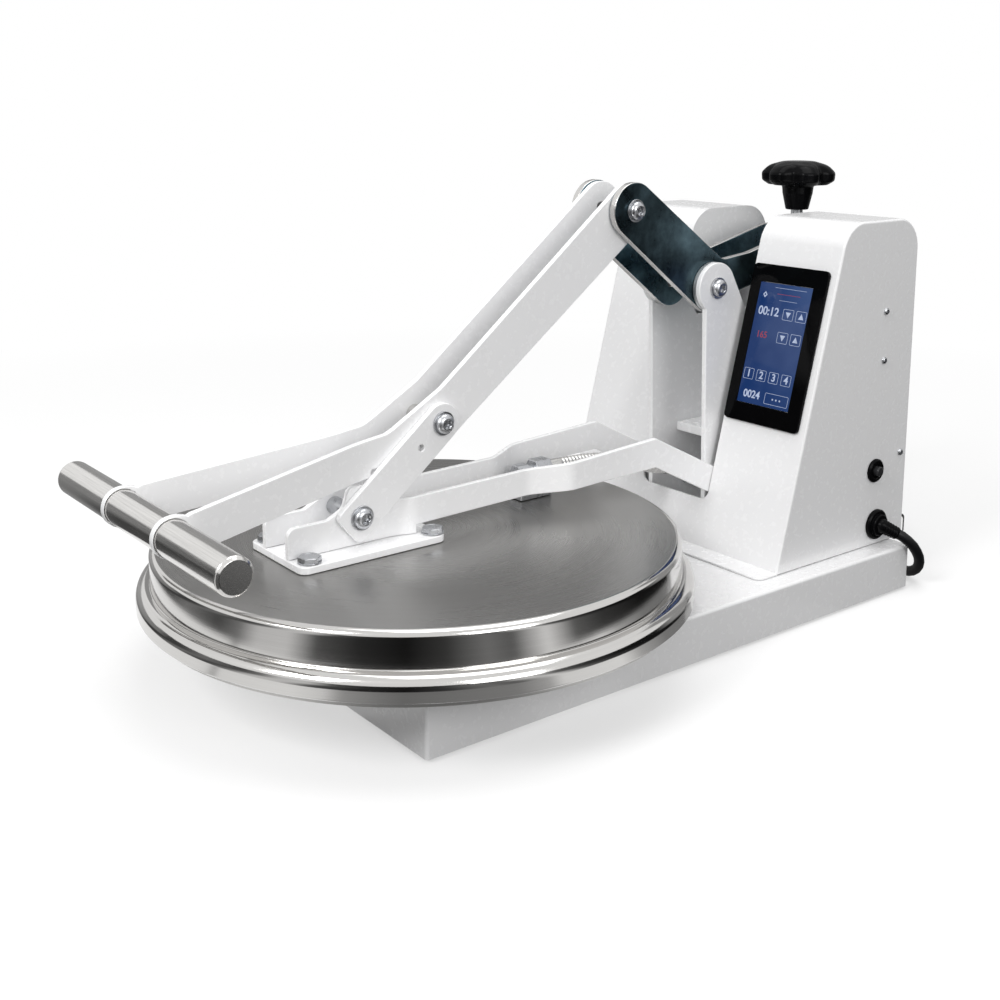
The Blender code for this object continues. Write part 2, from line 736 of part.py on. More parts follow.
def sideways(y, stations):
    """The middle plane's place at y, straight between stations."""
    if y <= stations[0][0]:
        return stations[0][1]
    for (near_y, near_x), (far_y, far_x) in zip(stations, stations[1:]):
        if y <= far_y:
            return near_x + (far_x - near_x) * (y - near_y) / (far_y - near_y)
    return stations[-1][1]


def link_clear_y():
    """Where a link's lower edge has risen past the bracket arm's top edge."""
    along = (PIVOT_A - PIVOT_B).normalized()
    below = Vector((along.y, -along.x)) * LINK_HALF
    rise = ARM_TOP + GAP + GAP - PIVOT_B.y - below.y
    return PIVOT_B.x + below.x + rise * along.x / along.y + GAP


def arm_outline():
    """A bracket arm: lug on the shroud plate, long arm, elbow and tail to the rear hinge."""
    elbow_top = Vector((ARM_ELBOW_Y, ARM_ELBOW_TOP))
    along = (PIVOT_H - Vector((ARM_ELBOW_Y, (ARM_ELBOW_TOP + ARM_ELBOW_BOTTOM) * HALF_SHARE))).normalized()
    across = Vector((-along.y, along.x)) * ARM_TAIL_HALF
    tail = PIVOT_H + along * ARM_TAIL_HALF
    lug_rear = PIVOT_B.x + LUG_PEAK_HALF + LUG_PEAK_HALF
    spread = ARM_SPREAD_END - ARM_SPREAD_START
    return rounded([
        (Vector((LUG_FRONT, LUG_BOTTOM)), 0), (Vector((LUG_FRONT, LUG_STEP_TOP)), BRACKET_CORNER),
        (Vector((LUG_STEP_REAR, LUG_STEP_TOP)), BRACKET_CORNER),
        (Vector((PIVOT_B.x - LUG_HOLLOW_BACK, LUG_STEP_TOP + LUG_HOLLOW_RISE)), BRACKET_CORNER),
        (Vector((PIVOT_B.x - LUG_PEAK_HALF, LUG_PEAK)), BRACKET_CORNER),
        (Vector((PIVOT_B.x + LUG_PEAK_HALF, LUG_PEAK)), BRACKET_CORNER),
        (Vector((lug_rear + LUG_PEAK_HALF, ARM_TOP)), BRACKET_CORNER),
        (Vector((ARM_SPREAD_START, ARM_TOP + ARM_RISE)), 0),
        (Vector((ARM_SPREAD_END, ARM_TOP + ARM_RISE + ARM_RISE)), 0),
        (elbow_top, ARM_ELBOW_RADIUS), (tail + across, ARM_TAIL_HALF), (tail - across, ARM_TAIL_HALF),
        (Vector((ARM_ELBOW_Y, ARM_ELBOW_BOTTOM)), ARM_ELBOW_RADIUS),
        (Vector((ARM_ELBOW_Y - spread - spread, ARM_BOTTOM + ARM_RISE + ARM_RISE)), spread),
        (Vector((ARM_SPREAD_START, ARM_BOTTOM + ARM_RISE)), spread),
        (Vector((LUG_FOOT_REAR, ARM_BOTTOM)), 0), (Vector((LUG_FOOT_REAR, LUG_BOTTOM)), 0),
    ])


def build_bracket():
    """Bracket on the shroud: its plate and bolts, the two arms, and the spacer at pivot B."""
    low = Vector((-BRACKET_HALF_WIDTH, BRACKET_FRONT))
    high = Vector((BRACKET_HALF_WIDTH, BRACKET_REAR))
    flat("bracket_plate", [box_outline(low, high, BRACKET_CORNER)], BRACKET_THICK, white_paint,
         (0, 0, BRACKET_BOTTOM + BRACKET_THICK * HALF_SHARE), (0, 0, 0))
    rows = (("front", BRACKET_FRONT + PLATEN_BOLT_INSET_FRONT), ("rear", BRACKET_REAR - PLATEN_BOLT_INSET_REAR))
    for row, y in rows:
        for word, side in SIDES:
            hex_bolt(f"bracket_bolt_{row}_{word}", side * PLATEN_BOLT_X, y, BRACKET_TOP)
    first = link_clear_y()
    stations = [(LUG_FRONT, ARM_LUG_MIDDLE), (first, ARM_LUG_MIDDLE), (first + ARM_BEND_RUN, ARM_MIDDLE),
                (ARM_SPREAD_START, ARM_MIDDLE), (ARM_SPREAD_END, ARM_REAR_MIDDLE), (PIVOT_H.x, ARM_REAR_MIDDLE)]
    for word, side in SIDES:
        loops = [arm_outline(), pin_hole(PIVOT_B), pin_hole(PIVOT_H, HINGE_SHAFT_RADIUS)]
        plate = flat(f"bracket_arm_{word}", loops, ARM_THICK, white_paint)
        bent_plate(plate, [(y, side * x) for y, x in stations])
    half = ARM_LUG_MIDDLE - ARM_THICK * HALF_SHARE - GAP
    spacer("spacer_b", PIVOT_B, SHANK_RADIUS + SPACER_WALL, zinc, half)


def build_links():
    """The two short links with the bolts at both of their ends."""
    along = (PIVOT_A - PIVOT_B).normalized()
    across = Vector((-along.y, along.x)) * LINK_HALF
    tip = PIVOT_A + along * LINK_HALF
    tail = PIVOT_B - along * LINK_TAIL
    outline = rounded([(tail - across, LINK_CORNER), (tail + across, LINK_CORNER),
                       (tip + across, LINK_HALF), (tip - across, LINK_HALF)])
    spare = PIVOT_A - along * LINK_HOLE_FROM_A
    for word, side in SIDES:
        loops = [outline, pin_hole(PIVOT_A), pin_hole(PIVOT_B), circle(spare, LINK_HOLE_RADIUS, 12)]
        flat(f"link_{word}", loops, LINK_THICK, white_paint, side_place(side, LINK_INNER, LINK_THICK))
        button_bolt(f"bolt_a_{word}", side, PIVOT_A, LINK_OUTER, LINK_INNER)
        lug_inner = ARM_LUG_MIDDLE - ARM_THICK * HALF_SHARE
        button_bolt(f"bolt_b_{word}", side, PIVOT_B, LINK_OUTER, lug_inner - SPACER_WALL)


def handle_outline():
    """Handle arm and long bar as one plate: ring at the grip, bend at A, round end at C."""
    along = (PIVOT_C - PIVOT_A).normalized()
    across = Vector((-along.y, along.x))
    tip = PIVOT_C + along * HANDLE_BAR_HALF_C
    ring = HANDLE_RADIUS + GAP + HANDLE_RING
    arm_rise = HANDLE_ARM_HALF + HANDLE_ARM_HALF
    front_top = HANDLE_AXIS + Vector((ring, HANDLE_ARM_HALF + GAP))
    front_low = HANDLE_AXIS + Vector((ring, -HANDLE_ARM_HALF + GAP))
    low_end = Vector((HANDLE_STOP_Y, front_low.y + HANDLE_ARM_DROP))
    top_end = Vector((HANDLE_BEND_START + arm_rise, low_end.y + arm_rise + HANDLE_ARM_SWELL))
    heel = PIVOT_A - along * HANDLE_BAR_HALF_A
    top_bar = PIVOT_A + across * HANDLE_BAR_HALF_A
    corners = [
        (top_end, HANDLE_FILLET), (top_bar + along * HANDLE_BAR_HALF_A, HANDLE_FILLET),
        (tip + across * HANDLE_BAR_HALF_C, HANDLE_BAR_HALF_C),
        (tip - across * HANDLE_BAR_HALF_C, HANDLE_BAR_HALF_C),
        (PIVOT_A - across * HANDLE_BAR_HALF_A + along * HANDLE_BAR_HALF_A, HANDLE_FILLET),
        (heel - across * HANDLE_BAR_HALF_A, HANDLE_BAR_HALF_A),
        (low_end + Vector((HANDLE_STOP_STEP, HANDLE_STOP_STEP)), HANDLE_RING),
        (low_end + Vector((0, HANDLE_STOP_STEP)), HANDLE_RING), (low_end, HANDLE_RING), (front_low, 0),
    ]
    start = math.atan2(front_low.y - HANDLE_AXIS.y, front_low.x - HANDLE_AXIS.x)
    finish = math.atan2(front_top.y - HANDLE_AXIS.y, front_top.x - HANDLE_AXIS.x) - 2 * math.pi
    reach = (front_top - HANDLE_AXIS).length
    grip = [HANDLE_AXIS + (ring + (reach - ring) * abs(math.cos(a * HALF_SHARE)) ** 8)
            * Vector((math.cos(a), math.sin(a)))
            for a in [start + (finish - start) * k / 20 for k in range(1, 20)]]
    return rounded(corners) + grip + [front_top]


def build_handle():
    """Handle: two bent plates, the grip tube through their rings, and the spacer at pivot A."""
    plate_middle = BAR_INNER + BAR_THICK * HALF_SHARE
    stations = [(HANDLE_AXIS.x, HANDLE_RING_X), (HANDLE_AXIS.x + HANDLE_RADIUS, HANDLE_RING_X),
                (HANDLE_BEND_START, plate_middle), (PIVOT_C.x, plate_middle)]
    for word, side in SIDES:
        loops = [handle_outline(), pin_hole(PIVOT_A), pin_hole(PIVOT_C), pin_hole(HANDLE_AXIS, HANDLE_RADIUS)]
        plate = flat(f"handle_plate_{word}", loops, BAR_THICK, white_paint)
        bent_plate(plate, [(y, side * x) for y, x in stations])
    end = HANDLE_HALF_LENGTH
    rim = HANDLE_RADIUS - HANDLE_END_ROUND
    bore = HANDLE_RADIUS - HANDLE_WALL
    profile = [(0, end), (rim, end), (HANDLE_RADIUS, end - HANDLE_END_ROUND),
               (HANDLE_RADIUS, HANDLE_END_ROUND - end), (rim, -end), (0, -end)]
    grip = turned("grip_tube", profile, bright_steel, (0, *HANDLE_AXIS), ALONG_X, steps=28)
    hollow = [(0, end - HANDLE_END_ROUND - HANDLE_WALL), (bore, end - HANDLE_END_ROUND - HANDLE_WALL),
              (bore, -end - OVERRUN), (0, -end - OVERRUN)]
    combine(grip, turned("grip_bore", hollow, bright_steel, (0, *HANDLE_AXIS), ALONG_X, steps=28), "DIFFERENCE")
    plug = [(0, -end), (bore - GAP, -end), (bore - GAP, HANDLE_RADIUS - end), (0, HANDLE_RADIUS - end)]
    turned("grip_end_plug", plug[::-1], bright_steel, (0, *HANDLE_AXIS), ALONG_X, steps=28)
    spacer("spacer_a", PIVOT_A, SPACER_A_RADIUS, bright_steel)


def lever_outline():
    """Adjusting lever: straight from C to the belly round D, then back to the adjuster block."""
    along = (PIVOT_D - PIVOT_C).normalized()
    up = Vector((-along.y, along.x)) * LEVER_HALF
    nose = PIVOT_C - along * LEVER_HALF
    bend = PIVOT_D + LEVER_BEND
    top = ADJUSTER + Vector((LEVER_END_RADIUS, LEVER_END_RADIUS))
    low = ADJUSTER + Vector((LEVER_END_RADIUS, -LEVER_END_RADIUS))
    slope = math.radians(62)
    belly_start = math.atan2(-up.y, -up.x)
    belly = arc(PIVOT_D, LEVER_HALF, belly_start, slope - math.pi * HALF_SHARE, 6)
    tail_top = bend + Vector((LEVER_TAIL_RUN, LEVER_TAIL_RISE))
    head = rounded([
        (belly[-1], 0), (low - Vector((LEVER_END_RADIUS, 0)), LEVER_END_RADIUS), (low, LEVER_END_RADIUS),
        (top, LEVER_END_RADIUS), (top - Vector((LEVER_TAIL_RUN, 0)), LEVER_BEND_RADIUS),
        (tail_top, LEVER_BEND_RADIUS), (bend, LEVER_BEND_RADIUS), (nose + up, LEVER_HALF),
        (nose - up, LEVER_HALF), (belly[0], 0),
    ])
    return head + belly[1:-1]


def dark_steel(name):
    return material(name + "_dark_steel", (0.10, 0.12, 0.13), 0.18, 1.0)


def build_lever():
    """Adjusting lever: a plate each side, the block that the screw turns in, and the bolts at C."""
    for word, side in SIDES:
        loops = [lever_outline(), pin_hole(PIVOT_C), pin_hole(PIVOT_D)]
        flat(f"lever_plate_{word}", loops, LEVER_THICK, dark_steel, side_place(side, LEVER_INNER, LEVER_THICK))
        button_bolt(f"bolt_c_{word}", side, PIVOT_C, LEVER_OUTER, BAR_INNER + GAP)
    half = ADJUSTER_BLOCK_HALF
    width = LEVER_INNER - GAP
    nut = block("adjuster_block", (-width, ADJUSTER.x - half, ADJUSTER.y - half),
                (width, ADJUSTER.x + half, ADJUSTER.y + half), zinc)
    bore = SCREW_RADIUS + GAP
    low = Vector((-bore, ADJUSTER.x - bore - ADJUSTER_SWING))
    high = Vector((bore, ADJUSTER.x + bore + ADJUSTER_TILT_ROOM))
    slot = flat("adjuster_block_slot", [box_outline(low, high, bore)], OVERRUN + OVERRUN + OVERRUN, zinc,
                (0, 0, ADJUSTER.y), (0, 0, 0))
    combine(nut, meshed(slot), "DIFFERENCE")


def upright_outline():
    """Upright: round head at D, leaning front edge, broad lower half and an arm back to the seat bar."""
    start = math.pi + math.acos(UPRIGHT_NECK / UPRIGHT_HEAD_RADIUS)
    normal = math.pi * HALF_SHARE - UPRIGHT_BACK_SLOPE
    head = arc(PIVOT_D, UPRIGHT_HEAD_RADIUS, start, normal, 12)
    down = Vector((math.cos(UPRIGHT_BACK_SLOPE), -math.sin(UPRIGHT_BACK_SLOPE)))
    run = (head[-1].y - SEAT_BAR_TOP) / -down.y
    knee = head[-1] + down * run
    seat_rear = ADJUSTER.x + SEAT_BAR_HALF
    foot = BASE_TOP + GAP
    low = rounded([
        (head[-1], 0), (knee, SEAT_ARM_CORNER), (Vector((seat_rear, SEAT_BAR_TOP)), SEAT_ARM_CORNER),
        (Vector((seat_rear, SEAT_BAR_TOP - SEAT_ARM_DEEP)), SEAT_ARM_CORNER),
        (Vector((UPRIGHT_FOOT_REAR, SEAT_BAR_TOP - SEAT_ARM_DEEP)), SEAT_ARM_FILLET),
        (Vector((UPRIGHT_FOOT_REAR, foot)), 0),
        (Vector((PIVOT_D.x - UPRIGHT_NECK + UPRIGHT_LEAN, foot)), 0), (head[0], 0),
    ])
    return head + low[1:-1]


def build_uprights():
    """Uprights inside the tower, and everything that joins them."""
    foot_bottom = BASE_TOP + GAP
    for word, side in SIDES:
        loops = [upright_outline(), pin_hole(PIVOT_D), pin_hole(PIVOT_H, HINGE_SHAFT_RADIUS)]
        plate = flat(f"upright_{word}", loops, UPRIGHT_THICK, white_paint,
                     side_place(side, UPRIGHT_INNER, UPRIGHT_THICK))
        plate = meshed(plate)
        lap = UPRIGHT_THICK * HALF_SHARE
        boss = [(SHANK_RADIUS + GAP, lap), (UPRIGHT_HEAD_RADIUS - GAP, lap),
                (UPRIGHT_HEAD_RADIUS - GAP, -PIVOT_BOSS_LENGTH), (SHANK_RADIUS + GAP, -PIVOT_BOSS_LENGTH)]
        combine(plate, turned(f"upright_boss_{word}", boss, white_paint, (side * UPRIGHT_INNER, *PIVOT_D),
                              outward(side), closed=True), "UNION")
        near, far = sorted((side * (UPRIGHT_INNER + lap), side * (UPRIGHT_OUTER + UPRIGHT_FOOT_REACH)))
        combine(plate, block(f"upright_foot_{word}", (near, PIVOT_D.x, foot_bottom),
                             (far, UPRIGHT_FOOT_REAR - lap, foot_bottom + UPRIGHT_FOOT_THICK), white_paint), "UNION")
        button_bolt(f"bolt_d_{word}", side, PIVOT_D, UPRIGHT_OUTER, LEVER_INNER)
    width = UPRIGHT_INNER - GAP
    seat = block("seat_bar", (-width, ADJUSTER.x - SEAT_BAR_HALF, SEAT_BAR_TOP - SEAT_BAR_DEEP),
                 (width, ADJUSTER.x + SEAT_BAR_HALF, SEAT_BAR_TOP), zinc)
    bore = SCREW_RADIUS + GAP
    hole = [(0, SEAT_BAR_TOP + OVERRUN), (bore, SEAT_BAR_TOP + OVERRUN),
            (bore, SEAT_BAR_TOP - SEAT_BAR_DEEP - OVERRUN), (0, SEAT_BAR_TOP - SEAT_BAR_DEEP - OVERRUN)]
    combine(seat, turned("seat_bar_bore", hole, zinc, (0, ADJUSTER.x, 0)), "DIFFERENCE")
    tie = block("tie_plate", (-width, TIE_FRONT, TIE_TOP - TIE_THICK), (width, TIE_REAR, TIE_TOP), white_paint)
    head = [(0, TIE_TOP + HEX_HEIGHT), (HEX_HALF_ACROSS, TIE_TOP + HEX_HEIGHT),
            (HEX_HALF_ACROSS, TIE_TOP - GAP), (0, TIE_TOP - GAP)]
    combine(tie, turned("tie_bolt", head, zinc, (TIE_BOLT_X, TIE_FRONT + TIE_BOLT_BACK, 0), steps=6), "UNION")
    build_hinge_shaft()


def build_hinge_shaft():
    """Rear hinge shaft through both uprights and both arms, with heads outside the arms."""
    inner = ARM_REAR_INNER + ARM_THICK + GAP
    outer = inner + HINGE_HEAD_THICK
    profile = [(0, outer), (HINGE_HEAD_RADIUS, outer), (HINGE_HEAD_RADIUS, inner), (HINGE_SHAFT_RADIUS, inner),
               (HINGE_SHAFT_RADIUS, -inner), (HINGE_HEAD_RADIUS, -inner), (HINGE_HEAD_RADIUS, -outer), (0, -outer)]
    turned("hinge_shaft", profile, zinc, (0, *PIVOT_H), ALONG_X, steps=20)


def front_face_y(z):
    """The tower's leaning front face."""
    return TOWER_FRONT + TOWER_SLOPE * (z - BASE_TOP)


def tower_outline(wall, lowered, foot):
    """The tower's side outline moved in by a wall, with its top lowered."""
    lean = math.hypot(1, TOWER_SLOPE)
    top = TOWER_TOP - lowered
    radius = max(TOWER_TOP_RADIUS - lowered, GAP)
    rear = TOWER_REAR if wall == 0 else TOWER_REAR + OVERRUN
    return rounded([
        (Vector((front_face_y(foot) + wall * lean, foot)), 0), (Vector((front_face_y(top) + wall * lean, top)), radius),
        (Vector((rear, top)), radius if wall == 0 else GAP), (Vector((rear, foot)), 0),
    ])


def tower_cavity(name, low_x, high_x, lowered, head):
    """One block of the room inside the tower's sheet; the heads' rooms stand above the low one."""
    foot = REAR_SLOT_BOTTOM if head else BASE_TOP - OVERRUN
    wall = TOWER_SHEET + (GAP * HALF_SHARE if head else 0)
    lean = math.hypot(1, TOWER_SLOPE)
    top = TOWER_TOP - lowered
    radius = max(TOWER_TOP_RADIUS - lowered, GAP)
    back = TOWER_REAR - TOWER_SHEET
    far = TOWER_REAR + OVERRUN
    drop = top - TOWER_TOP_RADIUS - REAR_PANEL_DROP * HALF_SHARE * HALF_SHARE
    corners = [
        (Vector((front_face_y(foot) + wall * lean, foot)), 0),
        (Vector((front_face_y(top) + wall * lean, top)), radius),
    ]
    if head:
        corners += [(point, 0) for point in arc(Vector((back - radius, top - radius)), radius, math.pi / 2, 0)]
        corners += [(Vector((back, drop)), 0), (Vector((far + GAP, drop)), 0), (Vector((far + GAP, foot)), 0)]
    else:
        corners += [(Vector((far, top)), 0), (Vector((far, foot)), 0)]
    middle = (low_x + high_x) * HALF_SHARE
    return flat(name, [rounded(corners)], high_x - low_x, white_paint, (middle, 0, 0))


def build_tower():
    """Tower cover: bent sheet with two heads, the slot between them, its foot flange and its openings."""
    foot = BASE_TOP + GAP
    width = TOWER_HALF_WIDTH + TOWER_HALF_WIDTH
    cover = meshed(flat("tower_cover", [tower_outline(0, 0, foot)], width, white_paint))
    edge = cover.modifiers.new("edges", "BEVEL")
    edge.width = TOWER_SIDE_EDGE
    edge.segments = 2
    edge.limit_method = "ANGLE"
    edge.angle_limit = math.radians(60)
    inside = TOWER_HALF_WIDTH - TOWER_SHEET
    flange = SLOT_HALF_WIDTH + TOWER_SHEET
    upper = inside - GAP * HALF_SHARE
    rooms = [tower_cavity("room_low", -inside, inside, TOWER_SHEET + INNER_FLANGE_DEPTH, False),
             tower_cavity("room_left", -upper, -flange, TOWER_SHEET, True),
             tower_cavity("room_right", flange, upper, TOWER_SHEET, True)]
    for room in rooms:
        combine(cover, meshed(room), "DIFFERENCE")
    slot = box_outline(Vector((-SLOT_HALF_WIDTH, SLOT_BOTTOM)), Vector((SLOT_HALF_WIDTH, TOWER_TOP + OVERRUN)),
                       SLOT_CORNER)
    depth = TOWER_REAR + OVERRUN - TOWER_FOOT_FRONT
    slot_cutter = flat("slot", [slot], depth, white_paint, (0, TOWER_FOOT_FRONT + depth * HALF_SHARE, 0),
                       (math.radians(90), 0, 0))
    combine(cover, meshed(slot_cutter), "DIFFERENCE")
    add_tower_foot(cover, foot)
    cut_side_openings(cover)
    cut_panel_window(cover)
    build_rear_panel()


def add_tower_foot(cover, foot):
    """The front sheet's foot, bent forward onto the base."""
    inner = front_face_y(foot) + TOWER_SHEET * HALF_SHARE
    corner = TOWER_FOOT_CORNER
    outline = rounded([
        (Vector((-TOWER_HALF_WIDTH, TOWER_FOOT_FRONT)), corner), (Vector((TOWER_HALF_WIDTH, TOWER_FOOT_FRONT)), corner),
        (Vector((TOWER_HALF_WIDTH, inner)), 0), (Vector((-TOWER_HALF_WIDTH, inner)), 0),
    ])
    sole = flat("tower_foot", [outline], TOWER_SHEET, white_paint, (0, 0, foot + TOWER_SHEET * HALF_SHARE), (0, 0, 0))
    combine(cover, meshed(sole), "UNION")


def cut_side_openings(cover):
    """Holes in the right side for the breaker, the gland and the screws."""
    holes = [("breaker_hole", BREAKER, BREAKER_BARREL_RADIUS), ("gland_hole", GLAND, GLAND_BARREL_RADIUS)]
    holes += [(f"screw_hole_{k}", spot, SIDE_SCREW_SHANK) for k, spot in enumerate(SIDE_SCREWS)]
    for name, spot, radius in holes:
        profile = [(0, TOWER_SHEET + TOWER_SHEET), (radius + GAP, TOWER_SHEET + TOWER_SHEET),
                   (radius + GAP, -TOWER_SHEET - TOWER_SHEET), (0, -TOWER_SHEET - TOWER_SHEET)]
        combine(cover, turned(name, profile, white_paint, (TOWER_HALF_WIDTH - TOWER_SHEET * HALF_SHARE, *spot),
                              ALONG_X, steps=16), "DIFFERENCE")


def on_front(x, z, proud):
    """A point proud of the leaning front face."""
    lean = math.atan(TOWER_SLOPE)
    return (x, front_face_y(z) - proud * math.cos(lean), z + proud * math.sin(lean))


def front_turn():
    """Turn a flat piece to lie on the leaning front face."""
    return (math.radians(90) - math.atan(TOWER_SLOPE), 0, 0)


def up_front(low, high):
    """Half the length that a height covers along the leaning face."""
    return (high - low) * HALF_SHARE * math.hypot(1, TOWER_SLOPE)


def cut_panel_window(cover):
    """Window behind the touch panel."""
    half = Vector((SCREEN_HALF_WIDTH, up_front(SCREEN_LOW, SCREEN_HIGH)))
    middle = (SCREEN_LOW + SCREEN_HIGH) * HALF_SHARE
    window = flat("panel_window", [box_outline(-half, half, PANEL_CORNER)], TOWER_SHEET * 4, white_paint,
                  on_front(SCREEN_X, middle, 0), front_turn())
    combine(cover, meshed(window), "DIFFERENCE")


def build_panel():
    """Touch panel: black frame, the screen in it and the control board behind it."""
    middle = (PANEL_LOW + PANEL_HIGH) * HALF_SHARE
    half = Vector((PANEL_HALF_WIDTH, up_front(PANEL_LOW, PANEL_HIGH)))
    screen_half = Vector((SCREEN_HALF_WIDTH, up_front(SCREEN_LOW, SCREEN_HIGH)))
    screen_middle = (SCREEN_LOW + SCREEN_HIGH) * HALF_SHARE
    offset = Vector((SCREEN_X - PANEL_X, (screen_middle - middle) * math.hypot(1, TOWER_SLOPE)))
    opening = box_outline(offset - screen_half, offset + screen_half)
    flat("panel_frame", [box_outline(-half, half, PANEL_CORNER), opening], PANEL_THICK, black_plastic,
         on_front(PANEL_X, middle, GAP + PANEL_THICK * HALF_SHARE), front_turn())
    inner = screen_half - Vector((GAP, GAP))
    glass = PANEL_THICK - SCREEN_RECESS
    flat("panel_screen", [box_outline(-inner, inner)], glass,
         lambda name: material(name + "_glass", (0.16, 0.22, 0.45), 0.12),
         on_front(SCREEN_X, screen_middle, GAP + glass * HALF_SHARE), front_turn())
    board_half = screen_half - Vector((BOARD_MARGIN, BOARD_MARGIN))
    back = -BOARD_STANDOFF - BOARD_THICK * HALF_SHARE
    board = meshed(flat("control_board", [box_outline(-board_half, board_half)], BOARD_THICK,
                        lambda name: material(name + "_board", (0.03, 0.18, 0.08), 0.5),
                        on_front(SCREEN_X, screen_middle, back), front_turn()))
    for index, (across, along) in enumerate(((-1, -1), (1, -1), (-1, 1), (1, 1))):
        post = [(0, -back), (STANDOFF_RADIUS, -back), (STANDOFF_RADIUS, 0), (0, 0)]
        spot = Vector((across * (board_half.x - BOARD_MARGIN), along * (board_half.y - BOARD_MARGIN)))
        z = screen_middle + spot.y / math.hypot(1, TOWER_SLOPE)
        combine(board, turned(f"standoff_{index}", post, zinc, on_front(SCREEN_X + spot.x, z, back),
                              front_turn(), steps=12), "UNION")


def build_rear_panel():
    """Flat panel that closes the back of the tower, open above for the lever and the knob."""
    side = TOWER_HALF_WIDTH - TOWER_SHEET - GAP
    low = BASE_TOP + GAP
    high = TOWER_TOP - TOWER_SHEET - TOWER_TOP_RADIUS - REAR_PANEL_DROP * HALF_SHARE
    slot = SLOT_HALF_WIDTH + TOWER_SHEET
    outline = rounded([
        (Vector((-side, low)), 0), (Vector((side, low)), 0), (Vector((side, high)), 0), (Vector((slot, high)), 0),
        (Vector((slot, REAR_SLOT_BOTTOM)), SLOT_CORNER), (Vector((-slot, REAR_SLOT_BOTTOM)), SLOT_CORNER),
        (Vector((-slot, high)), 0), (Vector((-side, high)), 0),
    ])
    flat("tower_back", [outline], REAR_PANEL_SHEET, white_paint,
         (0, TOWER_REAR - REAR_PANEL_SHEET * HALF_SHARE, 0), (math.radians(90), 0, 0))


def gland_reach(distance):
    """A point on the axis of the gland's snout, at a distance from the middle of its ball."""
    start = Vector((TOWER_HALF_WIDTH + GAP + GLAND_FLANGE_THICK + GLAND_NUT_LENGTH, *GLAND))
    return start + GLAND_AIM_SHARES.normalized() * distance


def build_side_fittings():
    """Breaker, gland and screws in the tower's right side; each is made along Z and laid outwards."""
    wall = TOWER_HALF_WIDTH
    flange = GAP + BREAKER_FLANGE_THICK
    well = BREAKER_BUTTON_RADIUS + GAP
    profile = [(0, -BREAKER_WELL), (well, -BREAKER_WELL), (well, flange), (BREAKER_FLANGE_RADIUS, flange),
               (BREAKER_FLANGE_RADIUS, GAP), (BREAKER_BARREL_RADIUS, GAP),
               (BREAKER_BARREL_RADIUS, -BREAKER_BARREL_LENGTH), (0, -BREAKER_BARREL_LENGTH)]
    turned("breaker_body", profile, black_plastic, (wall, *BREAKER), ALONG_X)
    face = flange + BREAKER_BUTTON_PROUD
    bottom = GAP + BREAKER_BUTTON_TRAVEL - BREAKER_WELL
    turned("breaker_button", [(0, face), (BREAKER_BUTTON_RADIUS, face), (BREAKER_BUTTON_RADIUS, bottom), (0, bottom)],
           lambda name: material(name + "_plastic", (0.30, 0.30, 0.31), 0.5), (wall, *BREAKER), ALONG_X)
    rim = GAP + GLAND_FLANGE_THICK
    nut = rim + GLAND_NUT_LENGTH
    profile = [(0, nut), (GLAND_NUT_RADIUS, nut), (GLAND_NUT_RADIUS, rim), (GLAND_FLANGE_RADIUS, rim),
               (GLAND_FLANGE_RADIUS, GAP), (GLAND_BARREL_RADIUS, GAP),
               (GLAND_BARREL_RADIUS, -GLAND_BARREL_LENGTH), (0, -GLAND_BARREL_LENGTH)]
    gland = turned("cord_gland", profile, black_plastic, (wall, *GLAND), ALONG_X)
    ball = arc(Vector((0, 0)), GLAND_SNOUT_RADIUS, 0, math.radians(-90), 4)
    profile = [(0, GLAND_SNOUT_LENGTH), (GLAND_SNOUT_TIP, GLAND_SNOUT_LENGTH)] + [tuple(spot) for spot in ball]
    aim = GLAND_AIM_SHARES.to_track_quat("Z", "Y").to_euler()
    combine(gland, turned("gland_snout", profile, black_plastic, gland_reach(0), aim), "UNION")
    for index, spot in enumerate(SIDE_SCREWS):
        head = GAP + SIDE_SCREW_HEIGHT
        profile = [(0, head), (SIDE_SCREW_RADIUS * HALF_SHARE, head), (SIDE_SCREW_RADIUS, GAP),
                   (SIDE_SCREW_SHANK, GAP), (SIDE_SCREW_SHANK, -SIDE_SCREW_LENGTH), (0, -SIDE_SCREW_LENGTH)]
        turned(f"side_screw_{index + 1}", profile, zinc, (wall, *spot), ALONG_X, steps=14)


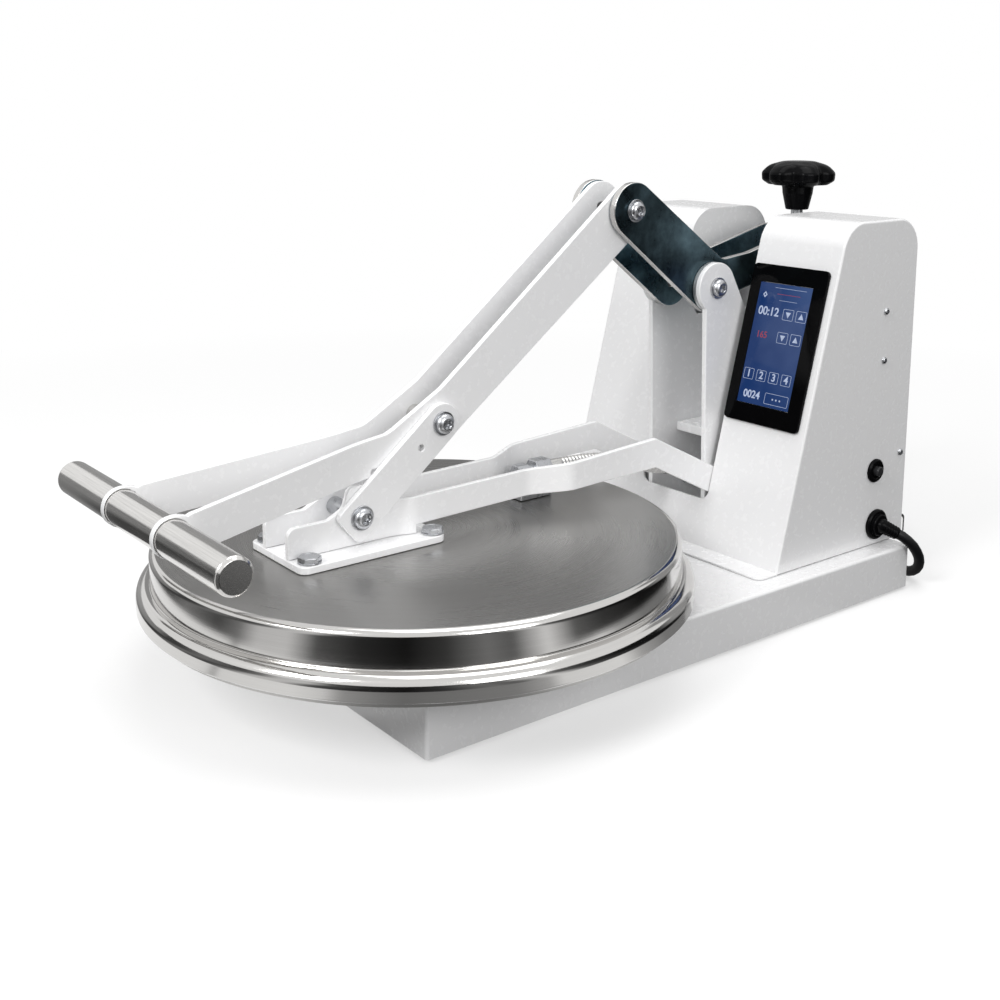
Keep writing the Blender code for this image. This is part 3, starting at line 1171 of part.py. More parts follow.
def build_conduit():
    """Fitting on the shroud and the hose that leads the wires back to the rear hinge."""
    height = SHROUD_TOP + GAP + CONDUIT_AXIS_HEIGHT
    first = CONDUIT_NUT_LENGTH
    gap_end = first + CONDUIT_NUT_LENGTH * HALF_SHARE
    second = gap_end + CONDUIT_BODY_LENGTH
    profile = [(0, second), (CONDUIT_BODY_RADIUS, second), (CONDUIT_BODY_RADIUS, gap_end),
               (CONDUIT_NECK_RADIUS, gap_end), (CONDUIT_NECK_RADIUS, first), (CONDUIT_NUT_RADIUS, first),
               (CONDUIT_NUT_RADIUS, 0), (0, 0)]
    fitting = turned("conduit_fitting", profile, zinc, (CONDUIT_X, CONDUIT_FRONT, height), ALONG_BACK, steps=6)
    seat = SHROUD_TOP + GAP
    pad = block("conduit_pad", (CONDUIT_X - CONDUIT_PAD_HALF, CONDUIT_FRONT, seat),
                (CONDUIT_X + CONDUIT_PAD_HALF, CONDUIT_FRONT + second - GAP, height), zinc)
    combine(fitting, pad, "UNION")
    start = Vector((CONDUIT_X, CONDUIT_FRONT + second + GAP, height))
    end = Vector((CONDUIT_X, *CONDUIT_HOSE_END))
    crown = CONDUIT_HOSE_RISE
    points = []
    for k in range(13):
        t = k / 12
        point = start.lerp(end, t)
        ease = t * t * (3 - 2 * t)
        point.z = start.z + (end.z - start.z) * ease + crown * math.sin(math.pi * t) ** 2
        points.append(point)
    tube("conduit_hose", points, CONDUIT_HOSE_RADIUS, zinc)


def build_knob():
    """Lobed knob and the captive screw below it."""
    cap = KNOB_TOP - KNOB_DOME
    bore = SCREW_RADIUS + GAP
    roof = KNOB_HUB_BOTTOM + KNOB_BORE_DEPTH
    low_cap = KNOB_CAP_BOTTOM + KNOB_DOME * HALF_SHARE
    profile = [(0, KNOB_TOP), (KNOB_RADIUS * 0.45, KNOB_TOP - KNOB_DOME * 0.12),
               (KNOB_RADIUS * 0.80, KNOB_TOP - KNOB_DOME * 0.45), (KNOB_RADIUS * 0.96, cap),
               (KNOB_RADIUS, (cap + low_cap) * HALF_SHARE), (KNOB_RADIUS * 0.95, low_cap),
               (KNOB_RADIUS * 0.80, KNOB_CAP_BOTTOM), (KNOB_HUB_RADIUS, KNOB_CAP_BOTTOM),
               (KNOB_HUB_RADIUS, KNOB_CAP_BOTTOM - KNOB_DOME), (KNOB_HUB_LOW_RADIUS, KNOB_HUB_BOTTOM),
               (bore, KNOB_HUB_BOTTOM), (bore, roof), (0, roof)]
    knob = meshed(turned("knob", profile, black_plastic, (0, ADJUSTER.x, 0), steps=60))
    for vert in knob.data.vertices:
        radius = math.hypot(vert.co.x, vert.co.y)
        if radius > KNOB_HUB_RADIUS + GAP:
            swing = (1 + math.cos(KNOB_LOBES * math.atan2(vert.co.y, vert.co.x))) * HALF_SHARE
            deep = (radius - KNOB_HUB_RADIUS) / (KNOB_RADIUS - KNOB_HUB_RADIUS)
            scale = 1 - KNOB_LOBE_SHARE * swing ** 2 * deep
            vert.co.x *= scale
            vert.co.y *= scale
    knob.data.shade_smooth()
    collar = SEAT_BAR_TOP + GAP
    under = SEAT_BAR_TOP - SEAT_BAR_DEEP - GAP
    profile = [(0, roof - GAP), (SCREW_RADIUS, roof - GAP), (SCREW_RADIUS, collar + SCREW_COLLAR_THICK),
               (SCREW_COLLAR_RADIUS, collar + SCREW_COLLAR_THICK), (SCREW_COLLAR_RADIUS, collar),
               (SCREW_RADIUS, collar), (SCREW_RADIUS, under), (SCREW_COLLAR_RADIUS, under),
               (SCREW_COLLAR_RADIUS, under - SCREW_TAIL * HALF_SHARE), (SCREW_RADIUS, under - SCREW_TAIL * HALF_SHARE),
               (SCREW_RADIUS, under - SCREW_TAIL), (0, under - SCREW_TAIL)]
    turned("adjusting_screw", profile, zinc, (0, ADJUSTER.x, 0), steps=20)


def smooth_path(route, step):
    """Evenly spaced points on a smooth curve through a route."""
    stops = [Vector(p) for p in route]
    padded = [stops[0] * 2 - stops[1]] + stops + [stops[-1] * 2 - stops[-2]]
    fine = []
    for a, b, c, d in zip(padded, padded[1:], padded[2:], padded[3:]):
        for k in range(16):
            t = k / 16
            fine.append(((b * 2) + (c - a) * t + (a * 2 - b * 5 + c * 4 - d) * t * t
                         + (b * 3 - a - c * 3 + d) * t ** 3) / 2)
    fine.append(stops[-1])
    reach = [0.0]
    for near, far in zip(fine, fine[1:]):
        reach.append(reach[-1] + (far - near).length)
    count = max(2, round(reach[-1] / step))
    points = []
    index = 0
    for k in range(count + 1):
        want = reach[-1] * k / count
        while index < len(fine) - 2 and reach[index + 1] < want:
            index += 1
        span = reach[index + 1] - reach[index]
        points.append(fine[index].lerp(fine[index + 1], min(1.0, (want - reach[index]) / span)))
    return points, reach[-1]


def coil_points():
    """The coil's middle line: spiral in on the floor, climb, and spiral out on top."""
    half = COIL_TURNS / 2
    swing = COIL_PITCH * half
    end = Vector(CORD_ROUTE[-1])
    centre = Vector((end.x - COIL_LEAD - GAP, end.y + COIL_RADIUS + swing * HALF_SHARE, 0))
    count = round(COIL_TURNS * COIL_POINTS_A_TURN)
    points = []
    for k in range(count + 1):
        turns = COIL_TURNS * k / count
        folded = abs(turns - half)
        radius = COIL_RADIUS - swing * HALF_SHARE + COIL_PITCH * folded
        climb = min(1.0, max(0.0, (turns - half + HALF_SHARE * HALF_SHARE) / HALF_SHARE))
        angle = -math.pi * HALF_SHARE - 2 * math.pi * turns
        points.append(centre + Vector((radius * math.cos(angle), radius * math.sin(angle),
                                       CORD_FLOOR + COIL_LAYER * climb * climb * (3 - 2 * climb))))
    lead_in = Vector((end.x - GAP, end.y, CORD_FLOOR))
    lead_out = points[-1] + Vector((0, COIL_TAIL, 0))
    return [lead_in] + points + [lead_out]


def least_gap(points):
    """The coil's least gap to itself, off its neighbours along the tube."""
    nearest = None
    apart = COIL_POINTS_A_TURN // 2
    for i, near in enumerate(points):
        for j in range(i + apart, len(points) - 1):
            start = points[j]
            run = points[j + 1] - start
            t = min(1.0, max(0.0, (near - start).dot(run) / run.length_squared))
            distance = (near - start - run * t).length
            nearest = distance if nearest is None else min(nearest, distance)
    return nearest - CORD_RADIUS * 2


def build_cord():
    """Mains cord: free stretch down behind the base, neat coil, and the plug on its end."""
    start = gland_reach(GLAND_SNOUT_LENGTH + GAP)
    bend = gland_reach(GLAND_SNOUT_LENGTH + CORD_LEAD)
    path, free = smooth_path((bend,) + CORD_ROUTE, CORD_STEP)
    free += (bend - start).length
    tube("cord", [start] + path, CORD_RADIUS, black_plastic)
    loop = coil_points()
    tube("cord_coil", loop, CORD_RADIUS, black_plastic, 1)
    wound = sum((b - a).length for a, b in zip(loop, loop[1:]))
    print("cord length", round(free + wound, 4), "free", round(free, 4), "least gap", round(least_gap(loop), 5))
    build_plug(loop[-1])


def build_plug(end):
    """Moulded plug with two blades and a ground pin, lying in line with the cord's end."""
    neck = GAP + PLUG_NECK_LENGTH
    body = neck + PLUG_BODY_LENGTH
    profile = [(0, body), (PLUG_RADIUS - PLUG_ROUND, body), (PLUG_RADIUS, body - PLUG_ROUND),
               (PLUG_RADIUS, neck + PLUG_ROUND), (PLUG_RADIUS - PLUG_ROUND, neck), (PLUG_NECK_RADIUS, neck),
               (CORD_RADIUS + GAP, GAP), (0, GAP)]
    plug = turned("plug", profile, black_plastic, end, ALONG_BACK)
    tip = end.y + body + PLUG_BLADE_LENGTH
    for word, side in SIDES:
        x = end.x + side * PLUG_BLADE_SPREAD
        z = end.z + PLUG_BLADE_HALF_WIDTH
        combine(plug, block(f"plug_blade_{word}", (x - PLUG_BLADE_HALF_THICK, end.y + body - PLUG_ROUND,
                                                   z - PLUG_BLADE_HALF_WIDTH),
                            (x + PLUG_BLADE_HALF_THICK, tip, z + PLUG_BLADE_HALF_WIDTH), zinc), "UNION")
    start = body - PLUG_ROUND
    pin = [(0, body + PLUG_BLADE_LENGTH), (PLUG_PIN_RADIUS, body + PLUG_BLADE_LENGTH), (PLUG_PIN_RADIUS, start),
           (0, start)]
    combine(plug, turned("plug_pin", pin, zinc, end - Vector((0, 0, PLUG_PIN_DROP)), ALONG_BACK, steps=12), "UNION")


def hang_on_axes():
    """Empties on the joint axes carry the moving pieces."""
    groups = (
        ("platen_axis", (0, *PIVOT_H), ("platen_shroud", "upper_platen", "insulation_pad", "heating_element",
                                        "bracket_", "spacer_b", "conduit_fitting", "conduit_hose")),
        ("link_axis", (0, *PIVOT_B), ("link_left", "link_right", "bolt_a_", "bolt_b_")),
        ("handle_axis", (0, *PIVOT_C), ("handle_plate_", "grip_", "spacer_a")),
        ("lever_axis", (0, *PIVOT_D), ("lever_plate_", "adjuster_block", "bolt_c_")),
        ("knob_axis", (0, ADJUSTER.x, KNOB_TOP), ("knob", "adjusting_screw")),
        ("button_axis", (TOWER_HALF_WIDTH, *BREAKER), ("breaker_button",)),
    )
    press = collection("dough_press")
    for name, place, prefixes in groups:
        pieces = [obj for obj in press.objects if obj.type != "EMPTY" and obj.name.startswith(prefixes)]
        carry(axis_empty(name, place), pieces)


def settle_origin():
    """Move the press so that its origin lies under the middle of its footprint."""
    for obj in bpy.data.objects:
        if obj.parent is None:
            obj.location.y -= ORIGIN_Y
    print("origin shift", round(ORIGIN_Y, 5))


def main():
    clear_scene()
    build_base()
    build_upper_platen()
    build_bracket()
    build_links()
    build_handle()
    build_lever()
    build_uprights()
    build_tower()
    build_panel()
    build_side_fittings()
    build_conduit()
    build_knob()
    build_cord()
    hang_on_axes()
    settle_origin()


main()
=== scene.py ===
"""Dresses the packed dough press with its finished pieces and materials, and sets its studio."""

import json
import math

import bmesh
import bpy
from bpy.props import FloatProperty, FloatVectorProperty, IntProperty, PointerProperty
from mathutils import Euler, Matrix, Vector

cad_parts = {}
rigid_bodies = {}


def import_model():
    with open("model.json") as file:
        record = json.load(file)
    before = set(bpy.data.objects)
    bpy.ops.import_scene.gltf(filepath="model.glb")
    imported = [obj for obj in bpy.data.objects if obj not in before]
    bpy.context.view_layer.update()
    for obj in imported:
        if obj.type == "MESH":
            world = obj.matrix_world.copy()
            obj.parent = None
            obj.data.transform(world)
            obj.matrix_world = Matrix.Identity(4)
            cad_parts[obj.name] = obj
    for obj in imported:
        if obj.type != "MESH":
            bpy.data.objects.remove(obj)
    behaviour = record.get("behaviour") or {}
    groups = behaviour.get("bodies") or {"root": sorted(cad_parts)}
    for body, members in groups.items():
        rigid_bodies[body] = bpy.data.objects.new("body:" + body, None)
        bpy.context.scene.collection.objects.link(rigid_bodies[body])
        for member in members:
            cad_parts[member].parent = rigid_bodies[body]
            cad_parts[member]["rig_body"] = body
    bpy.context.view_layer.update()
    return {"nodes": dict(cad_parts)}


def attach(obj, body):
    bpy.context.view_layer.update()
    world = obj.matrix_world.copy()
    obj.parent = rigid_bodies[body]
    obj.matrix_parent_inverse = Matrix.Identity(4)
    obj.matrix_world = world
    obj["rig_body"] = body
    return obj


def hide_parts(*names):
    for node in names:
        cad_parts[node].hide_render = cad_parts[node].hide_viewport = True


bl_info = {
    "name": "Dough press",
    "version": (1, 0, 0),
    "blender": (4, 5, 0),
    "location": "3D view > Sidebar > Dough press",
    "description": "Builds the finished pieces of a hand lever dough press on its packed frame",
    "category": "Object",
}

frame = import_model()

# Sizes shared with the solids, in metres; outlines are laid out from the base's front edge
ORIGIN_Y = 0.23355
GAP = 0.0003
SIDES = (("left", -1), ("right", 1))
BASE_HALF = 0.1642
BASE_DEPTH = 0.5708
BASE_TOP = 0.0452
BASE_UNDER = 0.0025
PLATEN_Y = 0.1060
PLATEN_RADIUS = 0.2286
SHROUD_TOP = 0.1132
SHROUD_RADIUS = 0.2225
SKIRT_RADIUS = 0.2343
PIVOT_A = Vector((0.1135, 0.2091))
PIVOT_B = Vector((0.0335, 0.1437))
PIVOT_C = Vector((0.3238, 0.3731))
PIVOT_D = Vector((0.4235, 0.2956))
PIVOT_H = Vector((0.4640, 0.0866))
ADJUSTER = Vector((0.5800, 0.3295))
GRIP = Vector((-0.1348, 0.1673))
GRIP_RADIUS = 0.0143
GRIP_HALF = 0.1452
BAR_INNER, BAR_OUTER = 0.0157, 0.0212
LINK_INNER, LINK_OUTER = 0.0215, 0.0270
LEVER_INNER, LEVER_OUTER = 0.0225, 0.0295
UPRIGHT_INNER, UPRIGHT_OUTER = 0.0335, 0.0390
ARM_THICK = 0.0050
ARM_REAR_MIDDLE = 0.0418
TOWER_HALF = 0.1441
TOWER_FRONT = 0.3994
TOWER_SLOPE = 0.2563
TOWER_TOP = 0.3613
TOWER_REAR = 0.5859
TOWER_SHEET = 0.002
TOWER_ROUND = 0.030
SLOT_HALF = 0.0450
SLOT_BOTTOM = 0.090
LEAN = math.hypot(1, TOWER_SLOPE)
BREAKER = Vector((0.5365, 0.1210))
GLAND = Vector((0.5416, 0.0665))
GLAND_AIM = Vector((0.610, 0.654, -0.447)).normalized()
SIDE_SCREWS = (Vector((0.5410, 0.2750)), Vector((0.5415, 0.2280)), Vector((0.5750, 0.1330)))
CORD_RADIUS = 0.005
CORD_ROUTE = (
    (0.1711, 0.5656, 0.0471), (0.1718, 0.5765, 0.0326), (0.1652, 0.5856, 0.0188), (0.1517, 0.5933, 0.0086),
    (0.1350, 0.5988, 0.0054), (0.1120, 0.6040, 0.0053), (0.0850, 0.6065, 0.0053), (0.0550, 0.6070, 0.0053),
    (0.0300, 0.6070, 0.0053), (0.0050, 0.6070, 0.0053),
)
COIL_RADIUS = 0.057
COIL_PITCH = 0.0108
COIL_LAYER = 0.0106
COIL_TURNS = 4.25
COIL_POINTS_A_TURN = 24

SIDEWAYS = Euler((math.pi / 2, 0, math.pi / 2)).to_matrix().to_4x4()
ALONG_X = Euler((0, math.pi / 2, 0)).to_matrix().to_4x4()
ALONG_BACK = Euler((-math.pi / 2, 0, 0)).to_matrix().to_4x4()
UPRIGHT = Euler((math.pi / 2, 0, 0)).to_matrix().to_4x4()
FRONT_TURN = Euler((math.pi / 2 - math.atan(TOWER_SLOPE), 0, 0)).to_matrix().to_4x4()
FILLET_STEP = math.radians(8)


def shift(x=0.0, y=0.0, z=0.0):
    """A move to a place given in the solids' layout."""
    return Matrix.Translation((x, y - ORIGIN_Y, z))


# Outlines

def circle(centre, radius, count=48):
    """A round outline."""
    turn = 2 * math.pi / count
    return [centre + radius * Vector((math.cos(k * turn), math.sin(k * turn))) for k in range(count)]


def arc(centre, radius, start, end, count=16):
    """Points along an arc."""
    angles = [start + (end - start) * k / count for k in range(count + 1)]
    return [centre + radius * Vector((math.cos(a), math.sin(a))) for a in angles]


def turned_corner(before, corner, after, radius):
    """The points that turn one corner at a radius, or as much as its sides allow."""
    back = before - corner
    ahead = after - corner
    bend = back.angle(ahead)
    if radius <= 0 or bend > math.radians(179.5):
        return [corner.copy()]
    cut = min(radius / math.tan(bend / 2), 0.49 * min(back.length, ahead.length))
    centre = corner + (back.normalized() + ahead.normalized()).normalized() * cut / math.cos(bend / 2)
    start = corner + back.normalized() * cut - centre
    stop = corner + ahead.normalized() * cut - centre
    sweep = math.atan2(start.x * stop.y - start.y * stop.x, start.dot(stop))
    count = max(2, math.ceil(abs(sweep) / FILLET_STEP))
    return [centre + Matrix.Rotation(sweep * k / count, 2) @ start for k in range(count + 1)]


def rounded(corners):
    """A closed outline through (point, radius) corners."""
    points = []
    for index, (corner, radius) in enumerate(corners):
        points += turned_corner(corners[index - 1][0], corner, corners[(index + 1) % len(corners)][0], radius)
    return points


def soft_line(corners):
    """An open profile through (radius, height, corner radius) points."""
    spots = [Vector(corner[:2]) for corner in corners]
    points = [spots[0]]
    for index in range(1, len(corners) - 1):
        points += turned_corner(spots[index - 1], spots[index], spots[index + 1], corners[index][2])
    return points + [spots[-1]]


def box_outline(low, high, radius=0.0):
    """A rectangle, with round corners if asked."""
    corners = (Vector(low), Vector((high[0], low[1])), Vector(high), Vector((low[0], high[1])))
    return rounded([(corner, radius) for corner in corners])


def front_y(z):
    """The tower's leaning front face."""
    return TOWER_FRONT + TOWER_SLOPE * (z - BASE_TOP)


def on_front(x, z, proud):
    """A move to a place proud of the tower's front face, turned to lie on it."""
    lean = math.atan(TOWER_SLOPE)
    return shift(x, front_y(z) - proud * math.cos(lean), z + proud * math.sin(lean)) @ FRONT_TURN


# Meshes

def tidy_mesh(mesh):
    """Merge a mesh's doubled points and turn its faces outwards."""
    shape = bmesh.new()
    shape.from_mesh(mesh)
    bmesh.ops.remove_doubles(shape, verts=shape.verts, dist=1e-6)
    bmesh.ops.recalc_face_normals(shape, faces=shape.faces)
    shape.to_mesh(mesh)
    shape.free()
    return mesh


def evaluated(obj, tools=()):
    """The plain mesh that an object's curve or modifiers give; the object and its tools are then removed."""
    for item in (obj, *tools):
        if not item.users_collection:
            bpy.context.scene.collection.objects.link(item)
    bpy.context.view_layer.update()
    graph = bpy.context.evaluated_depsgraph_get()
    mesh = bpy.data.meshes.new_from_object(obj.evaluated_get(graph))
    for item in (obj, *tools):
        bpy.data.objects.remove(item, do_unlink=True)
    return mesh


def plate_mesh(loops, thickness, edge=0.0008, steps=1):
    """A flat plate in its own XY plane: its outline and holes, with softened edges."""
    curve = bpy.data.curves.new("outline", "CURVE")
    curve.dimensions = "2D"
    curve.fill_mode = "BOTH"
    curve.extrude = thickness / 2 - edge
    curve.bevel_depth = edge
    curve.bevel_resolution = steps
    curve.offset = -edge
    for loop in loops:
        spline = curve.splines.new("POLY")
        spline.points.add(len(loop) - 1)
        for point, spot in zip(spline.points, loop):
            point.co = (spot[0], spot[1], 0, 1)
        spline.use_cyclic_u = True
    return tidy_mesh(evaluated(bpy.data.objects.new("outline", curve)))


def turned_mesh(profile, steps=96, closed=False):
    """A surface turned about Z from (radius, height) points."""
    return ring_mesh([(lambda angle, radius=spot[0]: radius, spot[1]) for spot in profile], steps, closed)


def ring_mesh(rings, steps=96, closed=False):
    """A surface through rings, each a radius as a function of the angle, and a height."""
    verts = []
    for radius_at, height in rings:
        for k in range(steps):
            angle = 2 * math.pi * k / steps
            radius = radius_at(angle)
            verts.append((radius * math.cos(angle), radius * math.sin(angle), height))
    faces = []
    count = len(rings)
    for row in range(count if closed else count - 1):
        low, high = row * steps, (row + 1) % count * steps
        for k in range(steps):
            following = (k + 1) % steps
            faces.append((low + k, low + following, high + following, high + k))
    mesh = bpy.data.meshes.new("turned")
    mesh.from_pydata(verts, [], faces)
    shape = bmesh.new()
    shape.from_mesh(mesh)
    bmesh.ops.remove_doubles(shape, verts=shape.verts, dist=1e-6)
    bmesh.ops.dissolve_degenerate(shape, edges=shape.edges, dist=1e-7)
    bmesh.ops.recalc_face_normals(shape, faces=shape.faces)
    shape.to_mesh(mesh)
    shape.free()
    return mesh


def round_at(radius):
    """A ring of one radius."""
    return lambda angle: radius


def lobed_at(radius, share, lobes=6):
    """A ring with lobes, a share of its radius deep."""
    return lambda angle: radius * (1 + share * math.cos(lobes * angle))


def hexagon_at(half):
    """A hexagon, by half its width across flats."""
    third = math.pi / 3
    return lambda angle: half / math.cos((angle % third) - third / 2)


def tube_mesh(points, radius_at, sides=20):
    """A round tube along points; radius_at gives its radius at a share of its length."""
    points = [Vector(point) for point in points]
    reach = [0.0]
    for near, far in zip(points, points[1:]):
        reach.append(reach[-1] + (far - near).length)
    verts = []
    normal = None
    for index, point in enumerate(points):
        run = (points[min(index + 1, len(points) - 1)] - points[max(index - 1, 0)]).normalized()
        if normal is None:
            normal = run.orthogonal().normalized()
        normal = (normal - run * normal.dot(run)).normalized()
        across = run.cross(normal)
        radius = radius_at(reach[index] / reach[-1])
        for k in range(sides):
            angle = 2 * math.pi * k / sides
            verts.append(point + (normal * math.cos(angle) + across * math.sin(angle)) * radius)
    faces = []
    for row in range(len(points) - 1):
        for k in range(sides):
            following = (k + 1) % sides
            faces.append((row * sides + k, row * sides + following, (row + 1) * sides + following,
                          (row + 1) * sides + k))
    faces.append(tuple(range(sides)))
    faces.append(tuple(range(len(verts) - sides, len(verts))))
    mesh = bpy.data.meshes.new("tube")
    mesh.from_pydata([tuple(vert) for vert in verts], [], faces)
    return tidy_mesh(mesh)


def block_mesh(low, high, edge=0.0006, segments=2):
    """A block between two corners with softened edges."""
    shape = bmesh.new()
    bmesh.ops.create_cube(shape, size=1)
    for vert in shape.verts:
        vert.co = [(a + b) / 2 + (b - a) * c for a, b, c in zip(low, high, vert.co)]
    bmesh.ops.bevel(shape, geom=shape.edges[:], offset=edge, segments=segments, profile=0.5, affect="EDGES")
    mesh = bpy.data.meshes.new("block")
    shape.to_mesh(mesh)
    shape.free()
    return mesh


def moved(mesh, matrix):
    """The mesh after a move, which may not mirror it."""
    mesh.transform(matrix)
    return mesh


def joined(meshes):
    """One mesh of several, each still closed on its own."""
    shape = bmesh.new()
    for mesh in meshes:
        shape.from_mesh(mesh)
    whole = bpy.data.meshes.new("joined")
    shape.to_mesh(whole)
    shape.free()
    return whole


def combined(mesh, steps):
    """A mesh joined with, or cut by, others; steps are (operation, mesh) pairs."""
    whole = bpy.data.objects.new("whole", mesh)
    tools = []
    for operation, tool_mesh in steps:
        tool = bpy.data.objects.new("tool", tool_mesh)
        change = whole.modifiers.new(operation.lower(), "BOOLEAN")
        change.operation = operation
        change.solver = "EXACT"
        change.object = tool
        tools.append(tool)
    return evaluated(whole, tools)


def steadied(mesh, sharp=38):
    """Smooth shading whose normals follow the large faces, with sharp edges past an angle."""
    mesh.shade_smooth()
    mesh.set_sharp_from_angle(angle=math.radians(sharp))
    obj = bpy.data.objects.new("steadied", mesh)
    weight = obj.modifiers.new("weight", "WEIGHTED_NORMAL")
    weight.mode = "FACE_AREA"
    weight.weight = 90
    weight.keep_sharp = True
    return evaluated(obj)


def sideways(y, stations):
    """The middle plane's place at y, straight between stations."""
    if y <= stations[0][0]:
        return stations[0][1]
    for (near_y, near_x), (far_y, far_x) in zip(stations, stations[1:]):
        if y <= far_y:
            return near_x + (far_x - near_x) * (y - near_y) / (far_y - near_y)
    return stations[-1][1]


def bent(mesh, stations, reach=0.006):
    """Shift a laid plate sideways along its length; each bend is eased over a short reach."""
    shape = bmesh.new()
    shape.from_mesh(mesh)
    for y, _ in stations[1:-1]:
        for k in range(-3, 4):
            geometry = shape.verts[:] + shape.edges[:] + shape.faces[:]
            bmesh.ops.bisect_plane(shape, geom=geometry, plane_co=(0, y - ORIGIN_Y + reach * k / 3, 0),
                                   plane_no=(0, 1, 0), dist=1e-6)
    for vert in shape.verts:
        y = vert.co.y + ORIGIN_Y
        vert.co.x += sum(sideways(y + reach * k / 4, stations) for k in range(-4, 5)) / 9
    shape.to_mesh(mesh)
    shape.free()
    return mesh


def piece(name, mesh, finish, body, nodes=(), sharp=38):
    """A finished piece on its body, in the place of the solids it stands for."""
    mesh = steadied(mesh, sharp)
    mesh.name = name
    finishes = finish if isinstance(finish, (list, tuple)) else [finish]
    mesh.materials.clear()
    for item in finishes:
        mesh.materials.append(item)
    obj = bpy.data.objects.new(name, mesh)
    bpy.context.scene.collection.objects.link(obj)
    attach(obj, body)
    if nodes:
        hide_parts(*nodes)
    return obj


# Node trees

def node(tree, kind, inputs=None, **settings):
    """A node with its settings, values and links."""
    made = tree.nodes.new(kind)
    for key, value in settings.items():
        setattr(made, key, value)
    for key, value in (inputs or {}).items():
        socket = made.inputs[key]
        if isinstance(value, bpy.types.NodeSocket):
            tree.links.new(value, socket)
        else:
            socket.default_value = value
    return made


def maths(tree, operation, *values):
    """The result of a sum on sockets and values."""
    return node(tree, "ShaderNodeMath", dict(enumerate(values)), operation=operation).outputs[0]


def blank(name, **values):
    """A material with a surface shader, its fixed values set, and the piece's own coordinates."""
    mat = bpy.data.materials.new(name)
    mat.use_nodes = True
    tree = mat.node_tree
    tree.nodes.clear()
    shader = tree.nodes.new("ShaderNodeBsdfPrincipled")
    for key, value in values.items():
        shader.inputs[key.replace("_", " ")].default_value = value
    node(tree, "ShaderNodeOutputMaterial", {"Surface": shader.outputs[0]})
    place = node(tree, "ShaderNodeTexCoord").outputs["Object"]
    return mat, tree, shader, place


def scaled(tree, vector, scale):
    """Coordinates stretched by a size in each direction."""
    return node(tree, "ShaderNodeMapping", {"Vector": vector, "Scale": scale}).outputs[0]


def noise(tree, vector, scale, detail=3.0, roughness=0.55):
    """Noise between 0 and 1."""
    return node(tree, "ShaderNodeTexNoise", {"Vector": vector, "Scale": scale, "Detail": detail,
                                             "Roughness": roughness}).outputs[0]


def ranged(tree, value, low, high, start=0.3, end=0.7):
    """A value carried from one range to another."""
    return node(tree, "ShaderNodeMapRange", {"Value": value, "From Min": start, "From Max": end,
                                             "To Min": low, "To Max": high}).outputs[0]


def toned(tree, value, dark, light):
    """A colour between two, by a value."""
    made = node(tree, "ShaderNodeMix", {"Factor": value}, data_type="RGBA")
    made.inputs[6].default_value = (*dark, 1)
    made.inputs[7].default_value = (*light, 1)
    return made.outputs[2]


def dimmed(colour, share):
    return tuple(channel * share for channel in colour)


def sink(tree, shader, height, strength, distance):
    """Bump on a shader."""
    bump = node(tree, "ShaderNodeBump", {"Height": height, "Strength": strength, "Distance": distance})
    tree.links.new(bump.outputs[0], shader.inputs["Normal"])


def powder_coat(name, colour):
    """Glossy powder coat: faint orange peel, fine mottling and a slightly uneven gloss."""
    mat, tree, shader, place = blank(name, Coat_Weight=0.25, Coat_Roughness=0.06, Specular_IOR_Level=0.5)
    peel = noise(tree, place, 520, 2.0)
    cloud = noise(tree, place, 260, 4.0, 0.6)
    tree.links.new(toned(tree, ranged(tree, cloud, 0, 1, 0.2, 0.8), dimmed(colour, 0.998), colour),
                   shader.inputs["Base Color"])
    tree.links.new(ranged(tree, noise(tree, place, 160, 3.0), 0.27, 0.276, 0.2, 0.8), shader.inputs["Roughness"])
    sink(tree, shader, peel, 0.06, 0.0001)
    return mat


def spun_steel(name, colour, centre_y, fine=1500.0, shine=(0.075, 0.115), grain=0.035):
    """Stainless steel brushed in circles round the platens' middle."""
    mat, tree, shader, place = blank(name, Metallic=1.0, Anisotropic=0.72)
    local = node(tree, "ShaderNodeMapping", {"Vector": place, "Location": (0, -centre_y, 0)}).outputs[0]
    parts = node(tree, "ShaderNodeSeparateXYZ", {0: local}).outputs
    flat_place = node(tree, "ShaderNodeCombineXYZ", {0: parts[0], 1: parts[1]}).outputs[0]
    radius = node(tree, "ShaderNodeVectorMath", {0: flat_place}, operation="LENGTH").outputs[1]
    lines = node(tree, "ShaderNodeCombineXYZ", {0: radius, 1: parts[2]}).outputs[0]
    fine_rings = noise(tree, lines, fine, 2.0, 0.7)
    broad_rings = noise(tree, lines, fine / 14, 3.0, 0.6)
    drift = noise(tree, local, 6.0, 3.0)
    half = maths(tree, "MULTIPLY", maths(tree, "ADD", fine_rings, broad_rings), 0.5)
    tree.links.new(toned(tree, ranged(tree, half, 0, 1, 0.35, 0.65), dimmed(colour, 0.92), colour),
                   shader.inputs["Base Color"])
    rough = maths(tree, "ADD", half, drift)
    tree.links.new(ranged(tree, rough, shine[0], shine[1], 0.7, 1.3), shader.inputs["Roughness"])
    sink(tree, shader, fine_rings, grain, 0.0002)
    around = node(tree, "ShaderNodeVectorMath", {0: (0, 0, 1), 1: flat_place}, operation="CROSS_PRODUCT").outputs[0]
    unit = node(tree, "ShaderNodeVectorMath", {0: around}, operation="NORMALIZE").outputs[0]
    world = node(tree, "ShaderNodeVectorTransform", {0: unit}, vector_type="VECTOR", convert_from="OBJECT",
                 convert_to="WORLD").outputs[0]
    tree.links.new(world, shader.inputs["Tangent"])
    return mat


